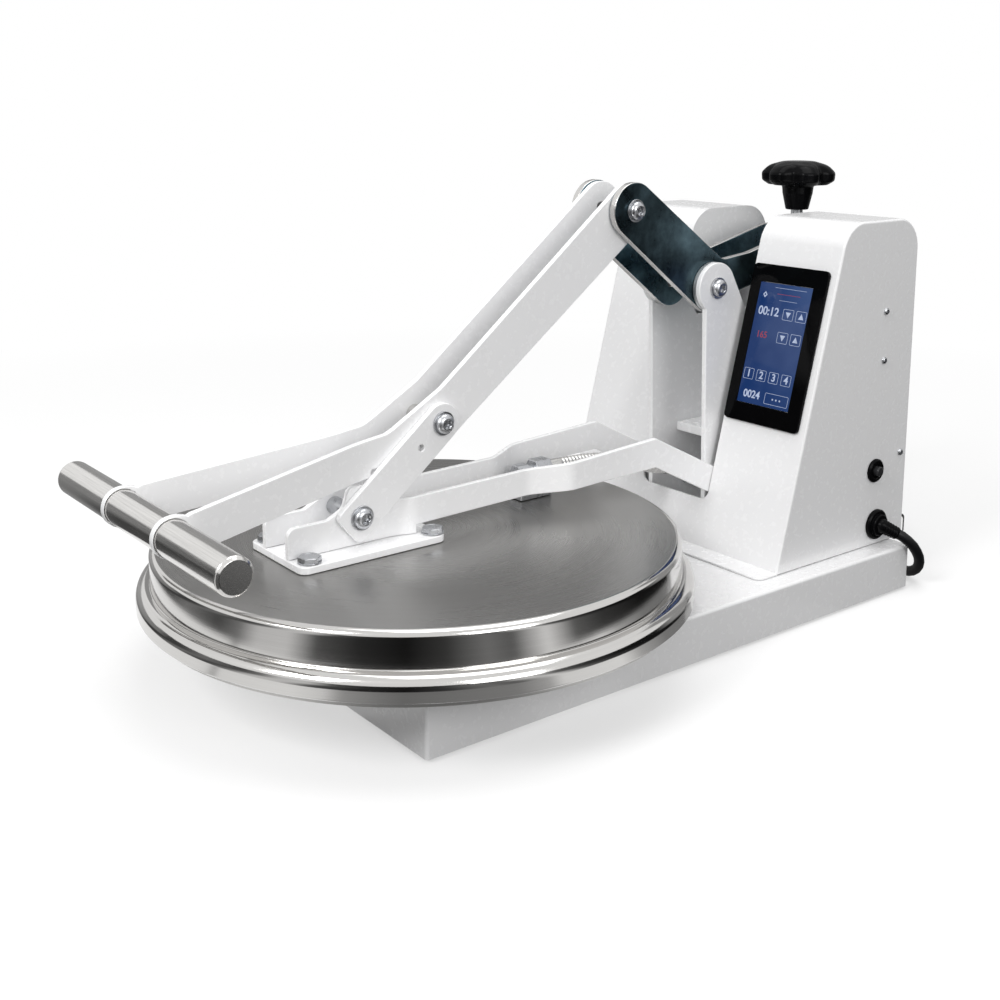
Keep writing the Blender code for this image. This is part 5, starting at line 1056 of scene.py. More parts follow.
def build_handle():
    """Handle: two bent bars, the brushed grip through their rings, its end plug and the spacer at A."""
    middle = (BAR_INNER + BAR_OUTER) / 2
    stations = [(GRIP.x, 0.0453), (GRIP.x + GRIP_RADIUS, 0.0453), (0.036, middle), (PIVOT_C.x, middle)]
    for word, side in SIDES:
        loops = [handle_outline(), circle(PIVOT_A, 0.0053), circle(PIVOT_C, 0.0053),
                 circle(GRIP, GRIP_RADIUS + GAP, 96)]
        bar = moved(plate_mesh(loops, BAR_OUTER - BAR_INNER, 0.0006, 2), shift() @ SIDEWAYS)
        bar = bent(bar, [(y, side * x) for y, x in stations], 0.010)
        piece(f"handle_bar_{word}", bar, finish("bar_paint_painted_light"), "handle", (f"handle_plate_{word}",))
    end = GRIP_HALF
    tube = soft_line([(0, end, 0), (GRIP_RADIUS - 0.0024, end, 0.0008), (GRIP_RADIUS, end - 0.0024, 0.0026),
                      (GRIP_RADIUS, -end + 0.0024, 0.0026), (GRIP_RADIUS - 0.0024, -end, 0.0008), (0.0122, -end, 0),
                      (0.0122, end - 0.006, 0), (0, end - 0.006, 0)])
    grip = piece("brushed_grip", moved(turned_mesh(tube, 96), shift(0, *GRIP) @ ALONG_X),
                 [finish("grip"), finish("grip_end")], "handle", ("grip_tube",), 40)
    # End faces take the darker copy of the steel: painted shade.
    for face in grip.data.polygons:
        face.material_index = 1 if abs(face.normal.x) > 0.95 else 0
    plug = soft_line([(0, -end, 0), (0.0119, -end, 0.0004), (0.0119, 0.012 - end, 0), (0, 0.012 - end, 0)])
    piece("grip_plug", moved(turned_mesh(plug, 64), shift(0, *GRIP) @ ALONG_X), finish("grip"), "handle",
          ("grip_end_plug",), 40)
    half = BAR_INNER - GAP
    spacer = soft_line([(0.0053, half, 0), (0.0085, half, 0.0005), (0.0085, -half, 0.0005), (0.0053, -half, 0)])
    piece("pivot_a_spacer", moved(turned_mesh(spacer, 64, True), shift(0, *PIVOT_A) @ ALONG_X), finish("bright"),
          "handle", ("spacer_a",), 60)


def lever_outline():
    """Adjusting lever: straight from C to the belly round D, then back to the adjuster block."""
    along = (PIVOT_D - PIVOT_C).normalized()
    up = Vector((-along.y, along.x)) * 0.0245
    nose = PIVOT_C - along * 0.0245
    bend = PIVOT_D + Vector((0.0165, 0.0250))
    top = ADJUSTER + Vector((0.0145, 0.0145))
    low = ADJUSTER + Vector((0.0145, -0.0145))
    belly = arc(PIVOT_D, 0.0245, math.atan2(-up.y, -up.x), math.radians(62) - math.pi / 2, 16)
    tail_top = bend + Vector((0.037, 0.004))
    head = rounded([
        (belly[-1], 0), (low - Vector((0.0145, 0)), 0.0145), (low, 0.0145), (top, 0.0145),
        (top - Vector((0.037, 0)), 0.012), (tail_top, 0.012), (bend, 0.012), (nose + up, 0.0245),
        (nose - up, 0.0245), (belly[0], 0),
    ])
    return head + belly[1:-1]


def build_lever():
    """Adjusting lever: dark plates with ground edges, and the bolts at C."""
    spots = []
    for word, side in SIDES:
        loops = [lever_outline(), circle(PIVOT_C, 0.0053), circle(PIVOT_D, 0.0053)]
        plate = moved(plate_mesh(loops, LEVER_OUTER - LEVER_INNER, 0.0009, 2),
                      shift(side * (LEVER_INNER + LEVER_OUTER) / 2) @ SIDEWAYS)
        lever = piece(f"dark_lever_{word}", plate, [finish("blued"), finish("edge"), finish("inner")], "lever",
                      (f"lever_plate_{word}",))
        # Outer faces stay blued; edges take the painted highlight and inner faces the painted reflection.
        for face in lever.data.polygons:
            outward = face.normal.x * side
            face.material_index = 0 if outward > 0.95 else 2 if outward < -0.95 else 1
        spots.append(((side * (LEVER_OUTER + GAP), PIVOT_C.x - ORIGIN_Y, PIVOT_C.y), (side, 0, 0)))
    piece("lever_bolts", row_mesh(button_head_mesh(), spots, "zinc"), finish("zinc"), "lever",
          ("bolt_c_left", "bolt_c_right"), 32)


def upright_outline():
    """Upright: round head at D, leaning front edge, broad lower half and an arm back to the seat bar."""
    slope = math.radians(61.3)
    start = math.pi + math.acos(0.0145 / 0.024)
    head = arc(PIVOT_D, 0.024, start, math.pi / 2 - slope, 30)
    down = Vector((math.cos(slope), -math.sin(slope)))
    knee = head[-1] + down * ((head[-1].y - 0.256) / -down.y)
    foot = BASE_TOP + GAP
    low = rounded([
        (head[-1], 0), (knee, 0.005), (Vector((0.589, 0.256)), 0.005), (Vector((0.589, 0.226)), 0.005),
        (Vector((0.530, 0.226)), 0.030), (Vector((0.530, foot)), 0),
        (Vector((PIVOT_D.x - 0.0145 + 0.0065, foot)), 0), (head[0], 0),
    ])
    return head + low[1:-1]


def build_uprights():
    """Uprights with their polished bosses and feet, the bolts at D and the tie plate between them."""
    foot = BASE_TOP + GAP
    spots = []
    for word, side in SIDES:
        loops = [upright_outline(), circle(PIVOT_D, 0.0053), circle(PIVOT_H, 0.0063)]
        plate = moved(plate_mesh(loops, UPRIGHT_OUTER - UPRIGHT_INNER, 0.0008, 2),
                      shift(side * (UPRIGHT_INNER + UPRIGHT_OUTER) / 2) @ SIDEWAYS)
        near, far = sorted((side * 0.0365, side * 0.071))
        sole = block_mesh((near, PIVOT_D.x - ORIGIN_Y, foot), (far, 0.527 - ORIGIN_Y, foot + 0.006))
        body = joined([plate, sole])
        upright = piece(f"slot_upright_{word}", body, finish("bar_paint_painted_light"), "frame", (f"upright_{word}",))
        boss = soft_line([(0.0053, 0.0001, 0), (0.0200, 0.0001, 0), (0.0200, 0.0006, 0), (0.0240, 0.0006, 0),
                          (0.0240, 0.0036, 0.0004), (0.0053, 0.0036, 0)])
        turn = Matrix.Rotation(-side * math.pi / 2, 4, "Y")
        boss = moved(turned_mesh(boss, 96, True), shift(side * UPRIGHT_INNER, *PIVOT_D) @ turn)
        ring = piece(f"pivot_boss_{word}", boss, finish("boss"), "frame", sharp=50)
        ring.parent = upright
        spots.append(((side * (UPRIGHT_OUTER + GAP), PIVOT_D.x - ORIGIN_Y, PIVOT_D.y), (side, 0, 0)))
    piece("upright_bolts", row_mesh(button_head_mesh(), spots, "zinc"), finish("zinc"), "frame",
          ("bolt_d_left", "bolt_d_right"), 32)
    width = UPRIGHT_INNER - GAP
    tie = block_mesh((-width, 0.4470 - ORIGIN_Y, 0.1395), (width, 0.5300 - ORIGIN_Y, 0.1485), 0.0010, 3)
    plate = piece("slot_tie", tie, finish("paint"), "frame", ("tie_plate",))
    bolt = row_mesh(hexagon_head_mesh(), [((0.008, 0.4770 - ORIGIN_Y, 0.1485), (0, 0, 1))], "zinc", 0.4, 0.75)
    head = piece("slot_tie_bolt", bolt, finish("zinc"), "frame", sharp=30)
    head.parent = plate


# Tower

def tower_outline(foot):
    """The tower's side outline."""
    return rounded([
        (Vector((front_y(foot), foot)), 0), (Vector((front_y(TOWER_TOP), TOWER_TOP)), TOWER_ROUND),
        (Vector((TOWER_REAR, TOWER_TOP)), TOWER_ROUND), (Vector((TOWER_REAR, foot)), 0),
    ])


def tower_room(low_x, high_x, lowered, head):
    """One block of the room inside the tower's sheet."""
    foot = 0.205 if head else BASE_TOP - 0.02
    wall = TOWER_SHEET + (GAP / 2 if head else 0)
    top = TOWER_TOP - lowered
    radius = max(TOWER_ROUND - lowered, GAP)
    back = TOWER_REAR - TOWER_SHEET
    far = TOWER_REAR + 0.02
    drop = top - TOWER_ROUND - 0.0075
    corners = [(Vector((front_y(foot) + wall * LEAN, foot)), 0), (Vector((front_y(top) + wall * LEAN, top)), radius)]
    if head:
        turn = arc(Vector((back - radius, top - radius)), radius, math.pi / 2, 0, 10)
        corners += [(Vector(point), 0) for point in turn]
        corners += [(Vector(point), 0) for point in ((back, drop), (far + GAP, drop), (far + GAP, foot))]
    else:
        corners += [(Vector((far, top)), 0), (Vector((far, foot)), 0)]
    return moved(plate_mesh([rounded(corners)], high_x - low_x, 0, 0), shift((low_x + high_x) / 2) @ SIDEWAYS)


def build_tower():
    """Tower cover of bent sheet: two heads, the slot between them, its foot and its openings, and the back."""
    foot = BASE_TOP + GAP
    shell = moved(plate_mesh([tower_outline(foot)], TOWER_HALF * 2, 0.0022, 3), shift() @ SIDEWAYS)
    inside = TOWER_HALF - TOWER_SHEET
    flange = SLOT_HALF + TOWER_SHEET
    upper = inside - GAP / 2
    slot = box_outline((-SLOT_HALF, SLOT_BOTTOM), (SLOT_HALF, TOWER_TOP + 0.02), 0.010)
    depth = 0.24
    slot_cut = moved(plate_mesh([slot], depth, 0, 0), shift(0, 0.376 + depth / 2) @ UPRIGHT)
    sole_rear = front_y(foot) + TOWER_SHEET / 2
    sole = rounded([(Vector((-TOWER_HALF, 0.376)), 0.008), (Vector((TOWER_HALF, 0.376)), 0.008),
                    (Vector((TOWER_HALF, sole_rear)), 0), (Vector((-TOWER_HALF, sole_rear)), 0)])
    sole_mesh = moved(plate_mesh([sole], TOWER_SHEET, 0.0004, 0), shift(0, 0, foot + TOWER_SHEET / 2))
    half = (0.0313, (0.3005 - 0.1880) / 2 * LEAN)
    window = moved(plate_mesh([box_outline((-half[0], -half[1]), half, 0.004)], 0.008, 0, 0),
                   on_front(0.0901, (0.3005 + 0.1880) / 2, 0))
    steps = [("DIFFERENCE", tower_room(-inside, inside, TOWER_SHEET + 0.038, False)),
             ("DIFFERENCE", tower_room(-upper, -flange, TOWER_SHEET, True)),
             ("DIFFERENCE", tower_room(flange, upper, TOWER_SHEET, True)),
             ("DIFFERENCE", slot_cut), ("UNION", sole_mesh), ("DIFFERENCE", window)]
    for spot, radius in [(BREAKER, 0.0083), (GLAND, 0.0093)] + [(spot, 0.0021) for spot in SIDE_SCREWS]:
        hole = turned_mesh([(0, 0.004), (radius, 0.004), (radius, -0.004), (0, -0.004)], 32)
        steps.append(("DIFFERENCE", moved(hole, shift(TOWER_HALF - 0.001, *spot) @ ALONG_X)))
    piece("tower_shell", combined(shell, steps), finish("paint"), "frame", ("tower_cover",))
    build_back()


def build_back():
    """Back panel with pressed louvres and its screws."""
    side = TOWER_HALF - TOWER_SHEET - GAP
    high = TOWER_TOP - TOWER_SHEET - TOWER_ROUND - 0.0083
    slot = SLOT_HALF + TOWER_SHEET
    outline = rounded([
        (Vector((-side, BASE_TOP + GAP)), 0), (Vector((side, BASE_TOP + GAP)), 0), (Vector((side, high)), 0),
        (Vector((slot, high)), 0), (Vector((slot, 0.205)), 0.010), (Vector((-slot, 0.205)), 0.010),
        (Vector((-slot, high)), 0), (Vector((-side, high)), 0),
    ])
    panel = moved(plate_mesh([outline], 0.0015, 0.0003, 0), shift(0, TOWER_REAR - 0.00075) @ UPRIGHT)
    back = piece("tower_rear_panel", panel, finish("paint"), "frame", ("tower_back",))
    ribs = ring_mesh([(lambda a: 0.0, 0.0018), (lambda a: 1.0, 0.0016), (lambda a: 1.5, 0.0)], 24)
    for vert in ribs.vertices:
        swell = math.hypot(vert.co.x, vert.co.y)
        run = vert.co.x / swell if swell > 0 else 0
        vert.co.y *= 0.0016
        vert.co.x = (0.020 if run > 0 else -0.020 if run < 0 else 0) + vert.co.x * 0.0016
    y = TOWER_REAR - ORIGIN_Y
    spots = [((x, y, 0.075 + k * 0.0095), (0, 1, 0)) for x in (-0.060, 0.0, 0.060) for k in range(9)]
    louvres = piece("rear_louvres", row_mesh(ribs, spots, "paint", 0.0), finish("paint"), "frame")
    louvres.parent = back
    corners = [((x * (side - 0.009), y, z), (0, 1, 0)) for x in (-1, 1) for z in (0.058, 0.175, high - 0.012)]
    screws = piece("rear_screws", row_mesh(small_head_mesh(), corners, "zinc", 1.5), finish("zinc"), "frame",
                   sharp=30)
    screws.parent = back


# Touch panel

def letters(body, size, x, y, bold=0.0):
    """Numerals as a thin mesh, centred at a place on the display."""
    text = bpy.data.curves.new("numerals", "FONT")
    text.body = body
    text.size = size
    text.align_x = "CENTER"
    text.align_y = "CENTER"
    text.extrude = 0.00003
    text.offset = bold
    return moved(evaluated(bpy.data.objects.new("numerals", text)), Matrix.Translation((x, y, 0)))


def outline_box(x0, y0, x1, y1, line=0.00035):
    """A thin outlined key."""
    outer = box_outline((x0, y0), (x1, y1), 0.0012)
    inner = box_outline((x0 + line, y0 + line), (x1 - line, y1 - line), 0.0009)
    return plate_mesh([outer, inner], 0.00006, 0, 0)


def arrow(x, y, size, up):
    """A filled arrow key."""
    way = 1 if up else -1
    loop = [Vector((x - size, y - way * size * 0.8)), Vector((x + size, y - way * size * 0.8)),
            Vector((x, y + way * size))]
    return plate_mesh([loop if up else loop[::-1]], 0.00006, 0, 0)


def build_panel():
    """Touch panel: gloss black frame, lit display, and its generic keys and numerals."""
    middle = (0.1710 + 0.3170) / 2
    half = Vector((0.0446, (0.3170 - 0.1710) / 2 * LEAN))
    screen_middle = (0.1880 + 0.3005) / 2
    screen_half = Vector((0.0313, (0.3005 - 0.1880) / 2 * LEAN))
    offset = Vector((0.0901 - 0.0914, (screen_middle - middle) * LEAN))
    loops = [box_outline(-half, half, 0.0045), box_outline(offset - screen_half, offset + screen_half, 0.0006)]
    bezel = moved(plate_mesh(loops, 0.003, 0.0004, 2), on_front(0.0914, middle, GAP + 0.0015))
    piece("panel_bezel", bezel, finish("bezel"), "frame", ("panel_frame",))
    inner = screen_half - Vector((GAP, GAP))
    glass = moved(plate_mesh([box_outline(-inner, inner, 0.0004)], 0.0026, 0.0001, 0),
                  on_front(0.0901, screen_middle, GAP + 0.0013))
    screen = piece("panel_display", glass, [finish("bezel"), finish("screen")], "frame", ("panel_screen",))
    for face in screen.data.polygons:
        face.material_index = 1 if face.normal.y < -0.9 else 0
    width, tall = inner.x * 2, inner.y * 2

    def spot(u, v):
        return (u - 0.5) * width, (0.5 - v) * tall

    marks = []
    reds = []
    for u0, u1, v0, v1 in ((0.54, 0.74, 0.195, 0.285), (0.79, 0.985, 0.195, 0.285), (0.52, 0.72, 0.385, 0.475),
                           (0.77, 0.965, 0.385, 0.475), (0.03, 0.22, 0.715, 0.805), (0.28, 0.46, 0.715, 0.805),
                           (0.52, 0.70, 0.715, 0.805), (0.76, 0.94, 0.715, 0.805), (0.52, 0.965, 0.885, 0.975)):
        low, high = spot(u0, v1), spot(u1, v0)
        marks.append(outline_box(low[0], low[1], high[0], high[1]))
    for u, v, up in ((0.64, 0.24, False), (0.888, 0.24, True), (0.62, 0.43, False), (0.868, 0.43, True)):
        x, y = spot(u, v)
        marks.append(arrow(x, y, 0.0030, up))
    for body, u, v, size in (("00:12", 0.26, 0.235, 0.0112), ("1", 0.125, 0.760, 0.0098), ("2", 0.37, 0.760, 0.0098),
                             ("3", 0.61, 0.760, 0.0098), ("4", 0.85, 0.760, 0.0098), ("0024", 0.26, 0.925, 0.0100)):
        marks.append(letters(body, size, *spot(u, v), 0.00022))
    for u0, u1, v in ((0.30, 0.90, 0.035), (0.42, 0.76, 0.135)):
        (x0, y), (x1, _) = spot(u0, v), spot(u1, v)
        marks.append(plate_mesh([box_outline((x0, y), (x1, y + 0.00030))], 0.00006, 0, 0))
    x, y = spot(0.13, 0.10)
    dot = [Vector((x + 0.0026, y)), Vector((x, y + 0.0030)), Vector((x - 0.0026, y)), Vector((x, y - 0.0030))]
    marks.append(plate_mesh([dot, circle(Vector((x, y)), 0.0010, 16)], 0.00006, 0, 0))
    x, y = spot(0.7425, 0.93)
    for k in (-1, 0, 1):
        marks.append(plate_mesh([circle(Vector((x + k * 0.0042, y)), 0.0009, 16)], 0.00006, 0, 0))
    reds.append(letters("165", 0.0088, *spot(0.22, 0.43), 0.00008))
    (x0, y), (x1, _) = spot(0.36, 0.085), spot(0.80, 0.085)
    reds.append(plate_mesh([box_outline((x0, y), (x1, y + 0.00040))], 0.00006, 0, 0))
    place = on_front(0.0901, screen_middle, GAP + 0.0026 + 0.00012)
    for name, meshes, kind in (("display_marks", marks, "mark"), ("display_red_marks", reds, "red_mark")):
        drawn = piece(name, moved(joined(meshes), place), finish(kind), "frame")
        drawn.parent = screen


# Fittings, conduit and knob

def build_side_fittings():
    """Breaker with its button, gland with its angled strain relief, and the screws in the right side."""
    flange = soft_line([(0, -0.020, 0), (0.0080, -0.020, 0), (0.0080, GAP, 0), (0.0115, GAP, 0.0002),
                        (0.0115, 0.0020, 0.0008), (0.0098, 0.0033, 0.0006), (0.0082, 0.0033, 0.0004),
                        (0.0074, 0.0022, 0.0003), (0.0051, 0.0022, 0.0002), (0.0051, -0.012, 0), (0, -0.012, 0)])
    piece("breaker_ring", moved(turned_mesh(flange, 72), shift(TOWER_HALF, *BREAKER) @ ALONG_X), finish("black"),
          "frame", ("breaker_body",), 45)
    button = soft_line([(0, 0.0078, 0), (0.0048, 0.0074, 0.0014), (0.0048, -0.0092, 0), (0, -0.0092, 0)])
    piece("breaker_push", moved(turned_mesh(button, 48), shift(TOWER_HALF, *BREAKER) @ ALONG_X), finish("button"),
          "button", ("breaker_button",), 45)
    rim = GAP + 0.004
    gland = soft_line([(0, -0.012, 0), (0.0090, -0.012, 0), (0.0090, GAP, 0), (0.0148, GAP, 0.0003),
                       (0.0148, rim - 0.0012, 0.0012), (0.0132, rim, 0.0008), (0.0105, rim, 0.0003),
                       (0.0105, rim + 0.0036, 0.0012), (0, rim + 0.0036, 0)])
    base = moved(turned_mesh(gland, 72), shift(TOWER_HALF, *GLAND) @ ALONG_X)
    snout = [tuple(spot) for spot in arc(Vector((0, 0)), 0.0072, -math.pi / 2, 0, 12)]
    for k in range(5):
        z = 0.0022 + k * 0.0028
        wide = 0.0071 - 0.00018 * k
        snout += [(wide, z), (wide - 0.0006, z + 0.0005), (wide - 0.0006, z + 0.0013), (wide - 0.0001, z + 0.0018)]
    snout += [(0.0060, 0.0166), (0.0056, 0.0170), (0, 0.0170)]
    aim = GLAND_AIM.to_track_quat("Z", "Y").to_matrix().to_4x4()
    reach = gland_reach(0)
    relief = moved(turned_mesh(snout, 48), shift(*reach) @ aim)
    piece("cord_relief", joined([base, relief]), finish("black"), "frame", ("cord_gland",), 35)
    spots = [((TOWER_HALF + GAP, s.x - ORIGIN_Y, s.y), (1, 0, 0)) for s in SIDE_SCREWS]
    piece("side_screws", row_mesh(small_head_mesh(), spots, "zinc", 1.5), finish("zinc"), "frame",
          ("side_screw_1", "side_screw_2", "side_screw_3"), 30)


def build_conduit():
    """Conduit fitting of two hexagon nuts on its pad, and the ribbed hose back to the hinge."""
    height = SHROUD_TOP + GAP + 0.0238
    rings = [(round_at(0), 0), (hexagon_at(0.0074), 0), (hexagon_at(0.0080), 0.0006), (hexagon_at(0.0080), 0.0122),
             (hexagon_at(0.0074), 0.0129), (round_at(0.0058), 0.0131), (round_at(0.0058), 0.0193),
             (hexagon_at(0.0092), 0.0196), (hexagon_at(0.0099), 0.0203), (hexagon_at(0.0099), 0.0364),
             (hexagon_at(0.0092), 0.0373), (round_at(0), 0.0375)]
    fitting = moved(ring_mesh(rings, 72), shift(-0.012, 0.220, height) @ ALONG_BACK)
    seat = SHROUD_TOP + GAP
    pad = block_mesh((-0.0205, 0.2205 - ORIGIN_Y, seat), (-0.0035, 0.2565 - ORIGIN_Y, seat + 0.018), 0.0012, 3)
    piece("conduit_nuts", joined([fitting, pad]), finish("zinc"), "platen", ("conduit_fitting",), 30)
    start = Vector((-0.012, 0.220 + 0.0378 - ORIGIN_Y, height))
    end = Vector((-0.012, 0.4380 - ORIGIN_Y, 0.1080))
    points = []
    for k in range(181):
        t = k / 180
        point = start.lerp(end, t)
        ease = t * t * (3 - 2 * t)
        point.z = start.z + (end.z - start.z) * ease + 0.006 * math.sin(math.pi * t) ** 2
        points.append(point)

    def ribbed(share):
        return 0.0066 + 0.0004 * math.sin(2 * math.pi * 45 * share) if share > 0.08 else 0.0070

    piece("ribbed_hose", tube_mesh(points, ribbed, 28), finish("bright"), "platen", ("conduit_hose",),
          60)


def build_knob():
    """Lobed knob with its hub, on the adjusting screw."""
    sizes = bpy.context.scene.dough_press_sizes
    profile = soft_line([(0, 0.0250, 0), (0.016, 0.0244, 0.02), (0.0300, 0.0205, 0.02), (0.0372, 0.0130, 0.005),
                         (0.0366, 0.0050, 0.004), (0.0300, 0.0008, 0.004), (0.0160, 0.0, 0.003),
                         (0.0152, -0.0080, 0.004), (0.0115, -0.0245, 0.001), (0.0063, -0.0250, 0),
                         (0.0063, -0.0050, 0), (0, -0.0050, 0)])
    blank_knob = bpy.data.objects.new("knob_blank", turned_mesh(profile, 144))
    lobes = blank_knob.modifiers.new("lobes", "NODES")
    lobes.node_group = lobe_tree()
    set_input(lobes, "Lobes", sizes.knob_lobes)
    set_input(lobes, "Depth", sizes.knob_lobe_depth)
    set_input(lobes, "Hub Radius", 0.016)
    set_input(lobes, "Rim Radius", 0.0372)
    set_input(lobes, "Material", finish("black"))
    mesh = moved(evaluated(blank_knob), shift(0, ADJUSTER.x, 0.3840))
    piece("lobed_knob", mesh, finish("black"), "knob", ("knob",), 50)


def dress_carried_nodes():
    """The solids that stay get their finishes."""
    plan = {
        "base_bottom": "platen", "seat_bar": "zinc", "hinge_shaft": "zinc", "control_board": "board",
        "insulation_pad": "wool", "heating_element": "zinc", "adjuster_block": "zinc", "adjusting_screw": "zinc",
    }
    plan.update({f"foot_{row}_{word}": "foot" for row in ("front", "rear") for word, _ in SIDES})
    for name, kind in plan.items():
        mesh = frame["nodes"][name].data
        mesh.materials.clear()
        mesh.materials.append(finish(kind))


# Stage

def lamp(name, place, target, size, power):
    """A soft area lamp aimed at a point."""
    data = bpy.data.lights.new(name, "AREA")
    data.energy = power
    data.size = size
    obj = bpy.data.objects.new(name, data)
    obj.location = place
    obj.rotation_euler = (Vector(target) - Vector(place)).to_track_quat("-Z", "Y").to_euler()
    bpy.context.scene.collection.objects.link(obj)


# Shades of the studio as the metal mirrors it: (degrees from +X towards +Y, brightness) pairs,
# first as the shroud's wall sees the floor, then as its skirt sees the floor nearer by
STUDIO_TONES = (
    (-180, 0.45), (-162, 0.34), (-147, 0.24), (-140, 0.06), (-131, 0.07), (-118, 0.22), (-101, 0.08), (-92, 0.22),
    (-85, 0.70), (-74, 0.75), (-65, 0.10), (-52, 0.03), (-38, 0.01), (-26, 0.05), (-14, 0.22), (-6, 0.13), (5, 0.90),
    (15, 0.14), (26, 0.05), (45, 0.01), (66, 0.01), (78, 0.35), (88, 0.55), (104, 0.45), (180, 0.35),
)
NEAR_TONES = (
    (-180, 1.00), (-100, 1.00), (-95, 0.95), (-92, 0.45), (-90, 0.95), (-68, 1.00), (-59, 0.85), (-54, 0.40),
    (-44, 0.26), (-38, 0.20), (-24, 0.24), (-9, 0.28), (0, 0.50), (4, 0.92), (24, 1.00), (32, 0.50), (45, 0.25),
    (58, 0.22), (80, 0.40), (180, 0.60),
)


NEAR_REACH = (0.400, 0.413)
FLOOR_REACH = 14.0
WHITE_REACH = (0.6, 1.6)
CARD_REACH = 3.0
CARD_STEP = 4
# Name, azimuths, height and even shade of each card that only reflections see
CARDS = (("left_surround", -188, -150, 0.6), ("front_surround", -150, 80, 0.85), ("back_surround", 80, 172, 2.3, 0.36))
# Place, aim and size of each lamp; its power is one of the stage's settings
LAMPS = (
    ("key", (0.30, -2.4, 2.05), (0, 0, 0.15), 1.1), ("top", (0.1, 0.3, 2.4), (0, 0, 0.1), 1.6),
    ("side", (2.4, -0.2, 1.2), (0, 0.05, 0.2), 1.2),
)
# The camera that was fitted to the photo
LENS, SHIFT, SENSOR = 47.704, -0.150, 36
CAMERA_PLACE = (0.89559, -0.49805 - ORIGIN_Y, 0.47465)
CAMERA_YAW, CAMERA_PITCH = math.radians(52.3192), math.radians(10.8885)


def studio_tones(tree, place, tones=STUDIO_TONES):
    """Soft light and dark bands round the platens' middle, as a studio's panels show in metal."""
    local = node(tree, "ShaderNodeMapping", {"Vector": place, "Location": (0, ORIGIN_Y - PLATEN_Y, 0)}).outputs[0]
    parts = node(tree, "ShaderNodeSeparateXYZ", {0: local}).outputs
    angle = maths(tree, "ARCTAN2", parts[1], parts[0])
    ramp = node(tree, "ShaderNodeValToRGB", {0: ranged(tree, angle, 0, 1, -math.pi, math.pi)})
    stops = ramp.color_ramp.elements
    for index, (azimuth, shade) in enumerate(tones):
        share = azimuth / 360 + 0.5
        stop = stops[0] if index == 0 else stops.new(share) if index < len(tones) - 1 else stops[-1]
        stop.position = share
        stop.color = (shade, shade, shade, 1)
    return ramp.outputs[0]


def surround_card(name, start, end, height, shade=None):
    """An upright curved card round the press, between two azimuths. Without a shade it is banded."""
    count = max(2, round((end - start) / CARD_STEP))
    ends = []
    for k in range(count + 1):
        turn = math.radians(start + (end - start) * k / count)
        ends.append((math.cos(turn) * CARD_REACH, math.sin(turn) * CARD_REACH + PLATEN_Y - ORIGIN_Y))
    mesh = bpy.data.meshes.new(name)
    verts = [(x, y, z) for x, y in ends for z in (0.001, height)]
    mesh.from_pydata(verts, [], [(2 * k, 2 * k + 2, 2 * k + 3, 2 * k + 1) for k in range(count)])
    mat = bpy.data.materials.new(name)
    mat.use_nodes = True
    tree = mat.node_tree
    tree.nodes.clear()
    place = node(tree, "ShaderNodeTexCoord").outputs["Object"]
    tone = (shade, shade, shade, 1) if shade is not None else studio_tones(tree, place)
    glow = node(tree, "ShaderNodeEmission", {"Color": tone})
    node(tree, "ShaderNodeOutputMaterial", {"Surface": glow.outputs[0]})
    mesh.materials.append(mat)
    obj = bpy.data.objects.new(name, mesh)
    bpy.context.scene.collection.objects.link(obj)
    obj.visible_camera = False
    obj.visible_diffuse = False
    obj.visible_shadow = False
    obj.visible_transmission = False


